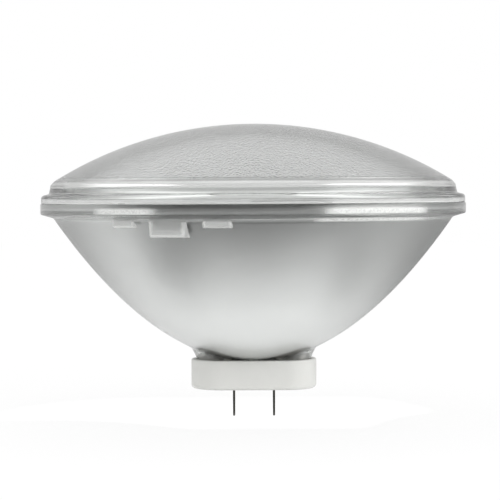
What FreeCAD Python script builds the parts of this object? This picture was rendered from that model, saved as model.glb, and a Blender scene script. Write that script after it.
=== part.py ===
import FreeCAD, Part
import math
import os
import re
import Sketcher
from FreeCAD import Placement, Rotation, Vector

# A sealed reflector lamp, 7 inches across the rim, with a two-blade cap.
# Origin at the middle of the cap's lower face, +Z up through the lens, the blades in a row along X.
# Lengths are in millimetres and angles in degrees.

# Driving sizes: name, value, what it is
SIZES = [
    ("rim_diameter", 177.8, "across the reflector's rim, the 7 inch size of the lamp"),
    ("seat_width", 6.9, "from the rim's edge in to the mouth of the bowl"),
    ("rim_height", 4.4, "upright edge of the reflector's rim"),
    ("rim_slope", 16.0, "fall of the rim's underside towards the bowl"),
    ("rim_foot_bevel", 0.6, "bevel of the rim's lower edge"),
    ("seam_bevel", 0.3, "bevel of the two edges at the seam"),
    ("bowl_depth", 59.8, "mirror's depth from its vertex to the mouth"),
    ("mouth_land", 3.4, "straight wall between the mirror's edge and the seam"),
    ("vertex_wall", 3.2, "glass at the bottom of the bowl"),
    ("mouth_wall", 3.3, "glass at the mouth of the bowl, measured level"),
    ("key_azimuth", 23.2, "middle key lug, turned from the front towards -X"),
    ("key_spread", 13.8, "angle from the middle lug to each side lug"),
    ("key_setback", 0.27, "from the neck under the rim in to the face of the lugs"),
    ("key_root", 6.5, "depth of a lug from its face into the wall of the bowl"),
    ("key_width", 15.4, "width of the middle lug"),
    ("key_height", 8.3, "middle lug below the rim's upright edge"),
    ("side_key_width", 10.9, "width of a side lug"),
    ("side_key_height", 4.7, "side lug below the rim's upright edge"),
    ("key_round", 1.2, "round of the lugs' edges"),
    ("boss_offset", 18.0, "from the axis to each terminal"),
    ("boss_radius", 5.6, "foot of a terminal boss before rounding"),
    ("boss_draft", 22.0, "taper of a boss"),
    ("boss_round", 2.2, "round of a boss's foot"),
    ("boss_drop", 0.2, "boss below the bottom of the bowl"),
    ("boss_nesting", 1.2, "boss inside the cap's mouth"),
    ("lens_inset", 0.3, "lens rim inside the reflector's rim"),
    ("lens_radius", 157.0, "sphere of the lens's outer face"),
    ("dome_rise", 9.4, "edge of the dome above the seam"),
    ("lens_wall", 2.4, "glass of the lens"),
    ("lens_rim_height", 3.3, "upright edge of the lens rim"),
    ("lens_rim_rise", 0.8, "rise of the lens rim's top towards the shoulder"),
    ("shoulder_foot_inset", 3.6, "from the rim's edge in to the foot of the shoulder"),
    ("shoulder_top_inset", 4.3, "from the rim's edge in to the top of the shoulder"),
    ("shoulder_drop", 1.7, "top of the shoulder below the edge of the dome"),
    ("dome_inset", 5.9, "from the rim's edge in to the edge of the dome"),
    ("bore_bevel", 2.2, "bevel inside the lens, under the shoulder"),
    ("lens_rim_bevel", 1.1, "bevel of the lens rim's top edge"),
    ("exhaust_hole", 4.0, "hole in the bottom of the bowl"),
    ("exhaust_wall", 1.4, "wall of the exhaust tube"),
    ("exhaust_length", 6.0, "exhaust tube below the bowl, to its sealed tip"),
    ("exhaust_tip", 2.2, "length of the tube's closed tip"),
    ("ferrule_diameter", 8.0, "metal cup sealed into each boss"),
    ("ferrule_wall", 0.5, "wall of a cup"),
    ("ferrule_length", 10.1, "length of a cup"),
    ("braze_height", 2.0, "braze in the bottom of a cup"),
    ("post_diameter", 2.0, "lead post"),
    ("post_elbow", 5.0, "reach of a lead post's bend"),
    ("coil_diameter", 3.6, "filament coil, outside"),
    ("coil_length", 14.4, "filament coil between its legs"),
    ("strand_diameter", 0.8, "coiled strand of the filament"),
    ("leg_length", 3.0, "leg from the coil to its post"),
    ("leg_inset", 0.15, "leg inside the outline of the coil"),
    ("hook_diameter", 0.5, "wire of the filament's hook"),
    ("hook_flat", 0.4, "thickness of the hook's flattened ring"),
    ("hook_play", 0.15, "air between the hook's ring and the coil"),
    ("bridge_drop", 10.0, "bridge below the filament"),
    ("bridge_thickness", 4.0, "bridge across the lead posts"),
    ("bridge_width", 6.4, "bridge, front to back"),
    ("cap_length", 52.7, "cap along the row of blades"),
    ("cap_width", 26.0, "cap, front to back"),
    ("cap_height", 12.4, "height of the cap"),
    ("cap_wall", 2.0, "wall of the cap"),
    ("cap_floor", 3.6, "floor of the cap"),
    ("cap_foot_bevel", 1.2, "bevel of the cap's lower edge"),
    ("cap_lip_bevel", 0.6, "bevel of the cap's mouth, outside"),
    ("blade_pitch", 16.8, "between the blades' middles"),
    ("blade_thickness", 0.9, "thickness of a blade"),
    ("blade_width", 9.5, "width of a blade"),
    ("blade_length", 11.6, "blade below the cap"),
    ("blade_corner", 1.5, "bevel of a blade's tip"),
    ("foot_overrun", 3.5, "blade's foot past the middle of the terminal"),
    ("solder_height", 0.9, "solder between a foot and its cup"),
    ("solder_diameter", 6.4, "solder at the foot"),
    ("cement_inner", 9.5, "from the axis to the inner side of a cement pad"),
    ("cement_lift", 0.6, "cement above the blade's foot"),
    ("slot_gap", 0.15, "air round a blade in its slot"),
    ("seat_gap", 0.05, "air between curved faces that seat on each other"),
]

# Sizes worked out from the driving ones: name, formula
DERIVED = [
    ("rim_radius", "=rim_diameter / 2"),
    ("mouth_radius", "=rim_radius - seat_width"),
    ("boss_foot", "=cap_height - boss_nesting"),
    ("bowl_bottom", "=boss_foot + boss_drop"),
    ("mirror_vertex", "=bowl_bottom + vertex_wall"),
    ("mouth_level", "=mirror_vertex + bowl_depth"),
    ("seam_level", "=mouth_level + mouth_land"),
    ("rim_foot", "=seam_level - rim_height"),
    ("mirror_focal", "=mouth_radius ^ 2 / (4 * bowl_depth)"),
    ("bowl_focal", "=(mouth_radius + mouth_wall) ^ 2 / (4 * (bowl_depth + vertex_wall))"),
    ("focus_level", "=mirror_vertex + mirror_focal"),
    ("rim_fall", "=tan(rim_slope * 1 deg)"),
    (
        "neck_radius",
        "=2 * bowl_focal * (sqrt(rim_fall ^ 2 + (rim_foot - rim_fall * rim_radius - bowl_bottom)"
        " / bowl_focal) + rim_fall)",
    ),
    ("key_face", "=neck_radius - key_setback"),
    (
        "key_ledge",
        "=key_face - 2 * sqrt(bowl_focal * (rim_foot - side_key_height - bowl_bottom))",
    ),
    ("key_edge", "=min(key_round; key_ledge * 0.57)"),
    ("lens_rim_radius", "=rim_radius - lens_inset"),
    ("shoulder_foot", "=rim_radius - shoulder_foot_inset"),
    ("shoulder_top", "=rim_radius - shoulder_top_inset"),
    ("shoulder_level", "=seam_level + lens_rim_height + lens_rim_rise"),
    ("dome_radius", "=rim_radius - dome_inset"),
    ("dome_level", "=seam_level + dome_rise"),
    ("lens_apex", "=dome_level + lens_radius - sqrt(lens_radius ^ 2 - dome_radius ^ 2)"),
    ("vault_radius", "=mouth_radius - bore_bevel"),
    (
        "vault_level",
        "=lens_apex - lens_radius + sqrt((lens_radius - lens_wall) ^ 2 - vault_radius ^ 2)",
    ),
    ("ferrule_radius", "=ferrule_diameter / 2"),
    ("ferrule_bore", "=ferrule_radius - ferrule_wall"),
    ("foot_top", "=cap_floor + blade_thickness"),
    ("ferrule_foot", "=foot_top + solder_height"),
    ("ferrule_floor", "=ferrule_foot + ferrule_wall"),
    ("post_radius", "=post_diameter / 2"),
    ("coil_radius", "=coil_diameter / 2"),
    ("leg_orbit", "=coil_radius - strand_diameter / 2 - leg_inset"),
    ("leg_level", "=focus_level - leg_orbit"),
    ("post_tip", "=coil_length / 2 + leg_length"),
    ("hook_orbit", "=coil_radius + hook_play + hook_diameter / 2"),
    ("bridge_top", "=focus_level - bridge_drop"),
    ("cap_end", "=cap_length / 2 - cap_width / 2"),
    ("cavity_radius", "=cap_width / 2 - cap_wall"),
    ("blade_offset", "=blade_pitch / 2"),
]

NECK_LEVEL = "bowl_bottom + neck_radius ^ 2 / (4 * bowl_focal)"
TOLERANCE = 1e-4

doc = FreeCAD.newDocument("reflector_lamp")
sheet = doc.addObject("Spreadsheet::Sheet", "Sizes")


def fill_sheet():
    """Write the driving sizes and the worked-out ones into the sheet, each under its name."""
    sheet.set("A1", "Size")
    sheet.set("B1", "Value")
    sheet.set("C1", "What it is")
    row = 2
    for name, value, note in SIZES:
        sheet.set(f"A{row}", name)
        sheet.set(f"B{row}", str(value))
        sheet.set(f"C{row}", note)
        sheet.setAlias(f"B{row}", name)
        row += 1
    for name, formula in DERIVED:
        sheet.set(f"A{row}", name)
        sheet.set(f"B{row}", formula)
        sheet.setAlias(f"B{row}", name)
        row += 1
    doc.recompute()


def formula(text):
    """A formula in the sheet's names, written so that objects outside the sheet can use it."""

    def with_sheet(match):
        word = match.group()
        return f"Sizes.{word}" if sheet.getCellFromAlias(word) else word

    return re.sub(r"[a-z_]+", with_sheet, text)


def number(text):
    """What a formula in the sheet's names comes to now."""
    result = sheet.evalExpression(formula(text))
    return float(getattr(result, "Value", result))


def new_body(name):
    """An empty body whose label names its file."""
    body = doc.addObject("PartDesign::Body", name)
    body.Label = name
    return body


def new_sketch(body, name, role, level=None, turn=None, turn_axis=Vector(0, 0, 1)):
    """A sketch on one of the body's own origin planes, raised by level and turned by turn."""
    plane = next(item for item in body.Origin.OriginFeatures if item.Role == role)
    sketch = body.newObject("Sketcher::SketchObject", name)
    sketch.AttachmentSupport = [(plane, "")]
    sketch.MapMode = "FlatFace"
    if turn is not None:
        sketch.AttachmentOffset = Placement(Vector(0, 0, 0), Rotation(turn_axis, number(turn)))
    if level is not None:
        sketch.setExpression("AttachmentOffset.Base.z", formula(level))
    if turn is not None:
        sketch.setExpression("AttachmentOffset.Rotation.Angle", formula(turn))
    return sketch


def dimension(sketch, kind, target, text):
    """A dimension of the sketch that follows a formula."""
    index = sketch.addConstraint(Sketcher.Constraint(kind, *target, number(text)))
    sketch.setExpression(f"Constraints[{index}]", formula(text))


def hold_point(sketch, geometry, point, across=None, up=None):
    """Hold a point at its distances from the sketch's origin; '0' puts it on the axis itself."""
    for kind, axis, text in (("DistanceX", -2, across), ("DistanceY", -1, up)):
        if text == "0":
            sketch.addConstraint(Sketcher.Constraint("PointOnObject", geometry, point, axis))
        elif text is not None:
            dimension(sketch, kind, (-1, 1, geometry, point), text)


def join_in_loop(sketch, edges):
    """Join each edge's end to the next one's start, all the way round; each edge is (index, start, end)."""
    for this, following in zip(edges, edges[1:] + edges[:1]):
        sketch.addConstraint(Sketcher.Constraint("Coincident", this[0], this[2], following[0], following[1]))


def draw_line(sketch, start, end):
    """A straight edge between two points given as pairs of numbers."""
    index = sketch.addGeometry(Part.LineSegment(Vector(*start, 0), Vector(*end, 0)), False)
    return (index, 1, 2)


def draw_polygon(sketch, corners):
    """A closed outline with straight edges, each corner held at its two formulas."""
    spots = [(number(across), number(up)) for across, up in corners]
    edges = [draw_line(sketch, a, b) for a, b in zip(spots, spots[1:] + spots[:1])]
    join_in_loop(sketch, edges)
    for edge, (across, up) in zip(edges, corners):
        hold_point(sketch, edge[0], 1, across, up)


def draw_circle(sketch, across, up, radius):
    """A full circle held at its middle."""
    centre = Vector(number(across), number(up), 0)
    index = sketch.addGeometry(Part.Circle(centre, Vector(0, 0, 1), number(radius)), False)
    hold_point(sketch, index, 3, across, up)
    dimension(sketch, "Radius", (index,), radius)


def draw_arc(sketch, centre, radius, start_angle, end_angle):
    """A circular edge, counter-clockwise, from numbers; its start is point 1 and its end point 2."""
    circle = Part.Circle(Vector(*centre, 0), Vector(0, 0, 1), radius)
    index = sketch.addGeometry(Part.ArcOfCircle(circle, start_angle, end_angle), False)
    return index


def draw_parabola(sketch, vertex, focal, inner, outer):
    """A parabola round Z between two radii: its height over the vertex is radius^2 / (4 focal).

    It is drawn as a curve of degree two, whose middle pole lies where its end tangents cross.
    """
    poles = [
        (inner, f"{vertex} + ({inner}) ^ 2 / (4 * {focal})"),
        (f"({inner} + {outer}) / 2", f"{vertex} + ({inner}) * ({outer}) / (4 * {focal})"),
        (outer, f"{vertex} + ({outer}) ^ 2 / (4 * {focal})"),
    ]
    spots = [Vector(number(across), number(up), 0) for across, up in poles]
    curve = sketch.addGeometry(Part.BSplineCurve(spots, None, None, False, 2, None, False), False)
    sketch.exposeInternalGeometry(curve)
    middle_pole = curve + 2
    hold_point(sketch, curve, 1, *poles[0])
    hold_point(sketch, middle_pole, 3, *poles[1])
    hold_point(sketch, curve, 2, *poles[2])
    return (curve, 1, 2)


def draw_obround(sketch, middle, radius):
    """A slot outline along X, with its two round ends centred at plus and minus middle."""
    half, round_end = number(middle), number(radius)
    right = draw_arc(sketch, (half, 0), round_end, -math.pi / 2, math.pi / 2)
    left = draw_arc(sketch, (-half, 0), round_end, math.pi / 2, 3 * math.pi / 2)
    top = draw_line(sketch, (half, round_end), (-half, round_end))
    bottom = draw_line(sketch, (-half, -round_end), (half, -round_end))
    for first, end, second, start in (
        (right, 2, top[0], 1),
        (top[0], 2, left, 1),
        (left, 2, bottom[0], 1),
        (bottom[0], 2, right, 1),
    ):
        sketch.addConstraint(Sketcher.Constraint("Tangent", first, end, second, start))
    hold_point(sketch, right, 3, middle, "0")
    hold_point(sketch, left, 3, f"-1 * {middle}", "0")
    dimension(sketch, "Radius", (right,), radius)


def revolve(body, sketch, name, kind="PartDesign::Revolution", axis="V_Axis"):
    """Turn the sketch once round one of its own axes."""
    feature = body.newObject(kind, name)
    feature.Profile = sketch
    feature.ReferenceAxis = (sketch, [axis])
    feature.Angle = 360
    return feature


def pad(body, sketch, name, length):
    """Raise the sketch by a formula's length."""
    feature = body.newObject("PartDesign::Pad", name)
    feature.Profile = sketch
    feature.setExpression("Length", formula(length))
    return feature


def pocket(body, sketch, name, length):
    """Cut the sketch upwards by a formula's length."""
    feature = body.newObject("PartDesign::Pocket", name)
    feature.Profile = sketch
    feature.Reversed = True
    feature.setExpression("Length", formula(length))
    return feature


def dress_edges(body, name, kind, size_property, size, wanted):
    """Round or bevel the edges of the body's last feature that pass the test wanted(edge)."""
    doc.recompute()
    base = body.Tip
    edges = enumerate(base.Shape.Edges, 1)
    names = [f"Edge{i}" for i, edge in edges if not edge.Degenerated and wanted(edge)]
    if not names:
        raise RuntimeError(f"{body.Label}: no edge for {name}")
    feature = body.newObject(kind, name)
    feature.Base = (base, names)
    feature.setExpression(size_property, formula(size))
    doc.recompute()
    return feature


def fillet(body, name, size, wanted):
    """Round the edges that pass the test."""
    return dress_edges(body, name, "PartDesign::Fillet", "Radius", size, wanted)


def chamfer(body, name, size, wanted):
    """Bevel the edges that pass the test."""
    return dress_edges(body, name, "PartDesign::Chamfer", "Size", size, wanted)


def is_ring(radius, level, across="0"):
    """A test for circular edges of that radius and level, about an upright axis at x = across."""
    wanted_radius, wanted_level, wanted_x = number(radius), number(level), number(across)

    def test(edge):
        curve = edge.Curve
        return (
            curve.TypeId == "Part::GeomCircle"
            and abs(curve.Radius - wanted_radius) < TOLERANCE
            and abs(curve.Center.z - wanted_level) < TOLERANCE
            and abs(abs(curve.Center.x) - wanted_x) < TOLERANCE
            and abs(curve.Center.y) < TOLERANCE
        )

    return test


def is_level(level):
    """A test for edges that lie all in one level."""
    wanted_level = number(level)

    def test(edge):
        box = edge.BoundBox
        return abs(box.ZMin - wanted_level) < TOLERANCE and abs(box.ZMax - wanted_level) < TOLERANCE

    return test


def place(body, x="0", z="0", half_turn=False):
    """Put the body at x and z, turned by half a turn about Z where it is the left one of a pair."""
    turn = Rotation(Vector(0, 0, 1), 180 if half_turn else 0)
    body.Placement = Placement(Vector(0, 0, 0), turn)
    if x != "0":
        body.setExpression("Placement.Base.x", formula(x))
    if z != "0":
        body.setExpression("Placement.Base.z", formula(z))


# Reflector: one pressed glass bowl with its rim, key lugs and terminal bosses


def draw_bowl_section(body):
    """Half section of the solid bowl: the outer parabola up to the rim's sloping underside."""
    sketch = new_sketch(body, "bowl_section", "XZ_Plane")
    neck, rim = number("neck_radius"), number("rim_radius")
    foot, seam, bottom = number("rim_foot"), number("seam_level"), number("bowl_bottom")
    curve = draw_parabola(sketch, "bowl_bottom", "bowl_focal", "0", "neck_radius")
    under = draw_line(sketch, (neck, number(NECK_LEVEL)), (rim, foot))
    edge = draw_line(sketch, (rim, foot), (rim, seam))
    top = draw_line(sketch, (rim, seam), (0, seam))
    axis = draw_line(sketch, (0, seam), (0, bottom))
    join_in_loop(sketch, [curve, under, edge, top, axis])
    hold_point(sketch, edge[0], 1, "rim_radius", "rim_foot")
    hold_point(sketch, top[0], 1, "rim_radius", "seam_level")
    hold_point(sketch, axis[0], 1, "0", "seam_level")
    return sketch


def draw_mirror_section(body):
    """Half section of the hollow: the mirror's parabola out to the mouth, then straight up to the seam."""
    sketch = new_sketch(body, "mirror_section", "XZ_Plane")
    out, low, high = number("mouth_radius"), number("mirror_vertex"), number("seam_level")
    curve = draw_parabola(sketch, "mirror_vertex", "mirror_focal", "0", "mouth_radius")
    wall = draw_line(sketch, (out, number("mouth_level")), (out, high))
    lid = draw_line(sketch, (out, high), (0, high))
    axis = draw_line(sketch, (0, high), (0, low))
    join_in_loop(sketch, [curve, wall, lid, axis])
    hold_point(sketch, lid[0], 1, "mouth_radius", "seam_level")
    hold_point(sketch, axis[0], 1, "0", "seam_level")
    return sketch


def add_key_lug(body, name, turn, width, height):
    """One key lug under the rim: a short sector that stands out from the bowl to an upright face."""
    sketch = new_sketch(body, f"{name}_section", "XZ_Plane", turn=turn, turn_axis=Vector(0, 1, 0))
    foot, inner, head = f"rim_foot - {height}", "key_face - key_root", "rim_foot + rim_height / 2"
    draw_polygon(sketch, [(inner, foot), ("key_face", foot), ("key_face", head), (inner, head)])
    sector = body.newObject("PartDesign::Revolution", name)
    sector.Profile = sketch
    sector.ReferenceAxis = (sketch, ["V_Axis"])
    sector.Midplane = True
    sector.setExpression("Angle", formula(f"2 * asin({width} / 2 / key_face)"))


def is_key_edge(turn, width, height):
    """A test for the edges of one lug's foot and the two upright edges of its face."""
    direction = math.radians(number(turn))
    at_foot, face, half = is_level(f"rim_foot - {height}"), number("key_face"), number(width) / 2

    def test(edge):
        middle = edge.valueAt((edge.FirstParameter + edge.LastParameter) / 2)
        ahead = middle.x * math.cos(direction) + middle.y * math.sin(direction)
        aside = middle.y * math.cos(direction) - middle.x * math.sin(direction)
        if ahead < number("key_face - key_root") or abs(aside) > half + TOLERANCE:
            return False
        kind = edge.Curve.TypeId
        if at_foot(edge):
            on_face = kind == "Part::GeomCircle" and abs(edge.Curve.Radius - face) < TOLERANCE
            return kind == "Part::GeomLine" or on_face
        box = edge.BoundBox
        is_upright = box.XLength < TOLERANCE and box.YLength < TOLERANCE
        return is_upright and abs(abs(aside) - half) < 0.01

    return test


def make_reflector():
    """Pressed glass: the bowl is turned, the bosses and lugs are raised on it, then the mirror's hollow is cut."""
    body = new_body("reflector")
    revolve(body, draw_bowl_section(body), "bowl")
    lugs = (
        ("middle_key", "-90 - key_azimuth", "key_width", "key_height"),
        ("left_key", "-90 - key_azimuth - key_spread", "side_key_width", "side_key_height"),
        ("right_key", "-90 - key_azimuth + key_spread", "side_key_width", "side_key_height"),
    )
    for name, turn, width, height in lugs:
        add_key_lug(body, name, turn, width, height)
    tests = [is_key_edge(*sizes) for name, *sizes in lugs]
    fillet(body, "key_rounds", "key_edge", lambda edge: any(test(edge) for test in tests))
    feet = new_sketch(body, "boss_feet", "XY_Plane", level="boss_foot")
    for side in ("boss_offset", "-1 * boss_offset"):
        draw_circle(feet, side, "0", "boss_radius")
    bosses = pad(body, feet, "bosses", "boss_drop + vertex_wall + boss_offset ^ 2 / (2 * bowl_focal)")
    bosses.setExpression("TaperAngle", formula("boss_draft"))
    fillet(body, "boss_rounds", "boss_round", is_ring("boss_radius", "boss_foot", "boss_offset"))
    revolve(body, draw_mirror_section(body), "mirror_hollow", "PartDesign::Groove")
    doc.recompute()
    holes = new_sketch(body, "terminal_holes", "XY_Plane", level="boss_foot")
    for side in ("boss_offset", "-1 * boss_offset"):
        draw_circle(holes, side, "0", "ferrule_radius + seat_gap")
    draw_circle(holes, "0", "0", "exhaust_hole / 2")
    pocket(body, holes, "holes", "mirror_focal")
    chamfer(body, "rim_foot_edge", "rim_foot_bevel", is_ring("rim_radius", "rim_foot"))
    chamfer(body, "rim_seam_edge", "seam_bevel", is_ring("rim_radius", "seam_level"))
    return body


# Lens: one pressed glass cover with a domed face, a shoulder and a rim


def make_lens():
    """The domed cover: a spherical wall that turns down into a skirt and stands on the seam."""
    body = new_body("lens")
    section = new_sketch(body, "lens_section", "XZ_Plane")
    apex, outside, inside = number("lens_apex"), number("lens_radius"), number("lens_radius - lens_wall")
    middle = apex - outside
    edge, vault_edge = number("dome_radius"), number("vault_radius")
    dome = draw_arc(section, (0, middle), outside, math.acos(edge / outside), math.pi / 2)
    vault = draw_arc(section, (0, middle), inside, math.acos(vault_edge / inside), math.pi / 2)
    corners = [
        ("vault_radius", "vault_level"),
        ("mouth_radius", "vault_level - bore_bevel"),
        ("mouth_radius", "seam_level"),
        ("lens_rim_radius", "seam_level"),
        ("lens_rim_radius", "seam_level + lens_rim_height"),
        ("shoulder_foot", "shoulder_level"),
        ("shoulder_top", "dome_level - shoulder_drop"),
        ("dome_radius", "dome_level"),
    ]
    spots = [(number(across), number(up)) for across, up in corners]
    sides = [draw_line(section, a, b) for a, b in zip(spots, spots[1:])]
    axis = draw_line(section, (0, apex), (0, middle + inside))
    join_in_loop(section, [(dome, 1, 2), axis, (vault, 2, 1)] + sides)
    section.addConstraint(Sketcher.Constraint("Coincident", dome, 3, vault, 3))
    section.addConstraint(Sketcher.Constraint("PointOnObject", dome, 3, -2))
    dimension(section, "Radius", (dome,), "lens_radius")
    dimension(section, "Radius", (vault,), "lens_radius - lens_wall")
    hold_point(section, dome, 2, "0", "lens_apex")
    hold_point(section, vault, 2, "0")
    hold_point(section, dome, 1, across="dome_radius")
    hold_point(section, vault, 1, across="vault_radius")
    for side, (across, up) in zip(sides[1:], corners[1:]):
        hold_point(section, side[0], 1, across, up)
    revolve(body, section, "cover")
    rim_top = "seam_level + lens_rim_height"
    chamfer(body, "rim_top_edge", "lens_rim_bevel", is_ring("lens_rim_radius", rim_top))
    chamfer(body, "rim_seam_edge", "seam_bevel", is_ring("lens_rim_radius", "seam_level"))
    return body


def make_exhaust_tube():
    """Glass tube under the bowl, melted shut at its tip."""
    body = new_body("exhaust_tube")
    section = new_sketch(body, "tube_section", "XZ_Plane")
    bore, outside = "exhaust_hole / 2", "exhaust_hole / 2 + exhaust_wall"
    tip = "bowl_bottom - exhaust_length"
    top = "bowl_bottom - seat_gap"
    draw_polygon(
        section,
        [
            ("0", tip),
            ("exhaust_hole / 4", tip),
            (outside, f"{tip} + exhaust_tip"),
            (outside, top),
            (bore, top),
            (bore, f"{tip} + exhaust_tip"),
            ("0", f"{tip} + exhaust_tip"),
        ],
    )
    revolve(body, section, "tube")
    return body


# Terminals: cup, braze, lead post, solder and cement, one set on each side


def make_ferrule(side):
    """Metal cup sealed into the boss, its open end inside the glass."""
    body = new_body(f"ferrule_{side}")
    section = new_sketch(body, "cup_section", "XZ_Plane")
    draw_polygon(
        section,
        [
            ("0", "0"),
            ("ferrule_radius", "0"),
            ("ferrule_radius", "ferrule_length"),
            ("ferrule_bore", "ferrule_length"),
            ("ferrule_bore", "ferrule_wall"),
            ("0", "ferrule_wall"),
        ],
    )
    revolve(body, section, "cup")
    chamfer(body, "cup_foot", "ferrule_wall / 2", is_ring("ferrule_radius", "0"))
    place(body, offset_on(side), "ferrule_foot", side == "left")
    return body


def offset_on(side):
    """The terminal's place along X on the right or the left."""
    return "boss_offset" if side == "right" else "-1 * boss_offset"


def make_braze(side):
    """Braze that holds the lead post in the bottom of its cup."""
    body = new_body(f"braze_{side}")
    outline = new_sketch(body, "braze_outline", "XY_Plane")
    draw_circle(outline, "0", "0", "ferrule_bore - seat_gap")
    draw_circle(outline, "0", "0", "post_radius + seat_gap")
    pad(body, outline, "braze", "braze_height")
    place(body, offset_on(side), "ferrule_floor", side == "left")
    return body


def make_lead_post(side):
    """Stiff wire that rises from the cup, bends inwards in two steps and ends at the filament's leg."""
    body = new_body(f"lead_post_{side}")
    path = new_sketch(body, "post_path", "XZ_Plane")
    stops = [
        ("boss_offset", "ferrule_floor"),
        ("boss_offset", "leg_level - post_elbow"),
        ("boss_offset - post_elbow", "leg_level"),
        ("post_tip", "leg_level"),
    ]
    spots = [(number(across), number(up)) for across, up in stops]
    runs = [draw_line(path, a, b) for a, b in zip(spots, spots[1:])]
    for this, following in zip(runs, runs[1:]):
        path.addConstraint(Sketcher.Constraint("Coincident", this[0], 2, following[0], 1))
    for run, (across, up) in zip(runs, stops):
        hold_point(path, run[0], 1, across, up)
    hold_point(path, runs[-1][0], 2, *stops[-1])
    section = new_sketch(body, "post_section", "XY_Plane", level="ferrule_floor")
    draw_circle(section, "boss_offset", "0", "post_radius")
    doc.recompute()
    wire = body.newObject("PartDesign::AdditivePipe", "post")
    wire.Profile = section
    wire.Spine = path
    wire.Transition = "Right corner"
    place(body, half_turn=side == "left")
    return body


def make_solder(side):
    """Solder between the blade's foot and the bottom of the cup."""
    body = new_body(f"solder_{side}")
    section = new_sketch(body, "solder_section", "XZ_Plane")
    draw_polygon(
        section,
        [
            ("0", "0"),
            ("solder_diameter / 2", "0"),
            ("ferrule_bore - ferrule_wall", "solder_height"),
            ("0", "solder_height"),
        ],
    )
    revolve(body, section, "solder")
    place(body, offset_on(side), "foot_top", side == "left")
    return body


def make_cement(side):
    """Cement round the cup that ties the boss to the end of the cap."""
    body = new_body(f"cement_{side}")
    foot = "foot_top + cement_lift"
    outline = new_sketch(body, "cement_outline", "XY_Plane", level=foot)
    radius, middle, inner = number("cavity_radius - seat_gap"), number("cap_end"), number("cement_inner")
    arc = draw_arc(outline, (middle, 0), radius, -math.pi / 2, math.pi / 2)
    upper = draw_line(outline, (middle, radius), (inner, radius))
    back = draw_line(outline, (inner, radius), (inner, -radius))
    lower = draw_line(outline, (inner, -radius), (middle, -radius))
    for kind, first, second in (
        ("Tangent", (arc, 2), (upper[0], 1)),
        ("Coincident", (upper[0], 2), (back[0], 1)),
        ("Coincident", (back[0], 2), (lower[0], 1)),
        ("Tangent", (lower[0], 2), (arc, 1)),
    ):
        outline.addConstraint(Sketcher.Constraint(kind, *first, *second))
    hold_point(outline, arc, 3, "cap_end", "0")
    dimension(outline, "Radius", (arc,), "cavity_radius - seat_gap")
    outline.addConstraint(Sketcher.Constraint("Horizontal", upper[0]))
    outline.addConstraint(Sketcher.Constraint("Horizontal", lower[0]))
    outline.addConstraint(Sketcher.Constraint("Vertical", back[0]))
    hold_point(outline, back[0], 1, across="cement_inner")
    draw_circle(outline, "boss_offset", "0", "ferrule_radius + seat_gap")
    pad(body, outline, "cement", "boss_foot - foot_top - cement_lift")
    place(body, half_turn=side == "left")
    return body


# Filament, its hook and the bridge that carries the hook


def make_filament():
    """Envelope of the tungsten coil, lying along X, with its two legs below the middle."""
    body = new_body("filament")
    coil = new_sketch(body, "coil_outline", "YZ_Plane", level="-1 * coil_length / 2")
    draw_circle(coil, "0", "0", "coil_radius")
    pad(body, coil, "coil", "coil_length")
    legs = new_sketch(body, "leg_outline", "YZ_Plane", level="-1 * post_tip")
    draw_circle(legs, "0", "-1 * leg_orbit", "strand_diameter / 2")
    pad(body, legs, "legs", "2 * post_tip")
    place(body, z="focus_level")
    return body


def make_filament_hook():
    """Wire on the bridge, with a flat ring at its top that steadies the middle of the filament."""
    body = new_body("filament_hook")
    ring = new_sketch(body, "ring_outline", "YZ_Plane")
    draw_circle(ring, "0", "0", "hook_orbit + hook_diameter / 2")
    draw_circle(ring, "0", "0", "hook_orbit - hook_diameter / 2")
    flat = pad(body, ring, "ring", "hook_flat")
    flat.Midplane = True
    foot = "bridge_drop + bridge_thickness"
    stem = new_sketch(body, "stem_section", "XY_Plane", level=f"-1 * ({foot})")
    draw_circle(stem, "0", "0", "hook_diameter / 2")
    pad(body, stem, "stem", f"{foot} - hook_orbit")
    place(body, z="focus_level")
    return body


def make_bridge():
    """Ceramic bar across the lead posts, with a hole for each and one for the hook."""
    body = new_body("support_bridge")
    outline = new_sketch(body, "bridge_outline", "XY_Plane", level="-1 * bridge_thickness")
    draw_obround(outline, "boss_offset", "bridge_width / 2")
    for side in ("boss_offset", "-1 * boss_offset"):
        draw_circle(outline, side, "0", "post_radius + seat_gap")
    draw_circle(outline, "0", "0", "hook_diameter / 2 + seat_gap")
    pad(body, outline, "bridge", "bridge_thickness")
    place(body, z="bridge_top")
    return body


# Cap: ceramic base and the two blades


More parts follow.
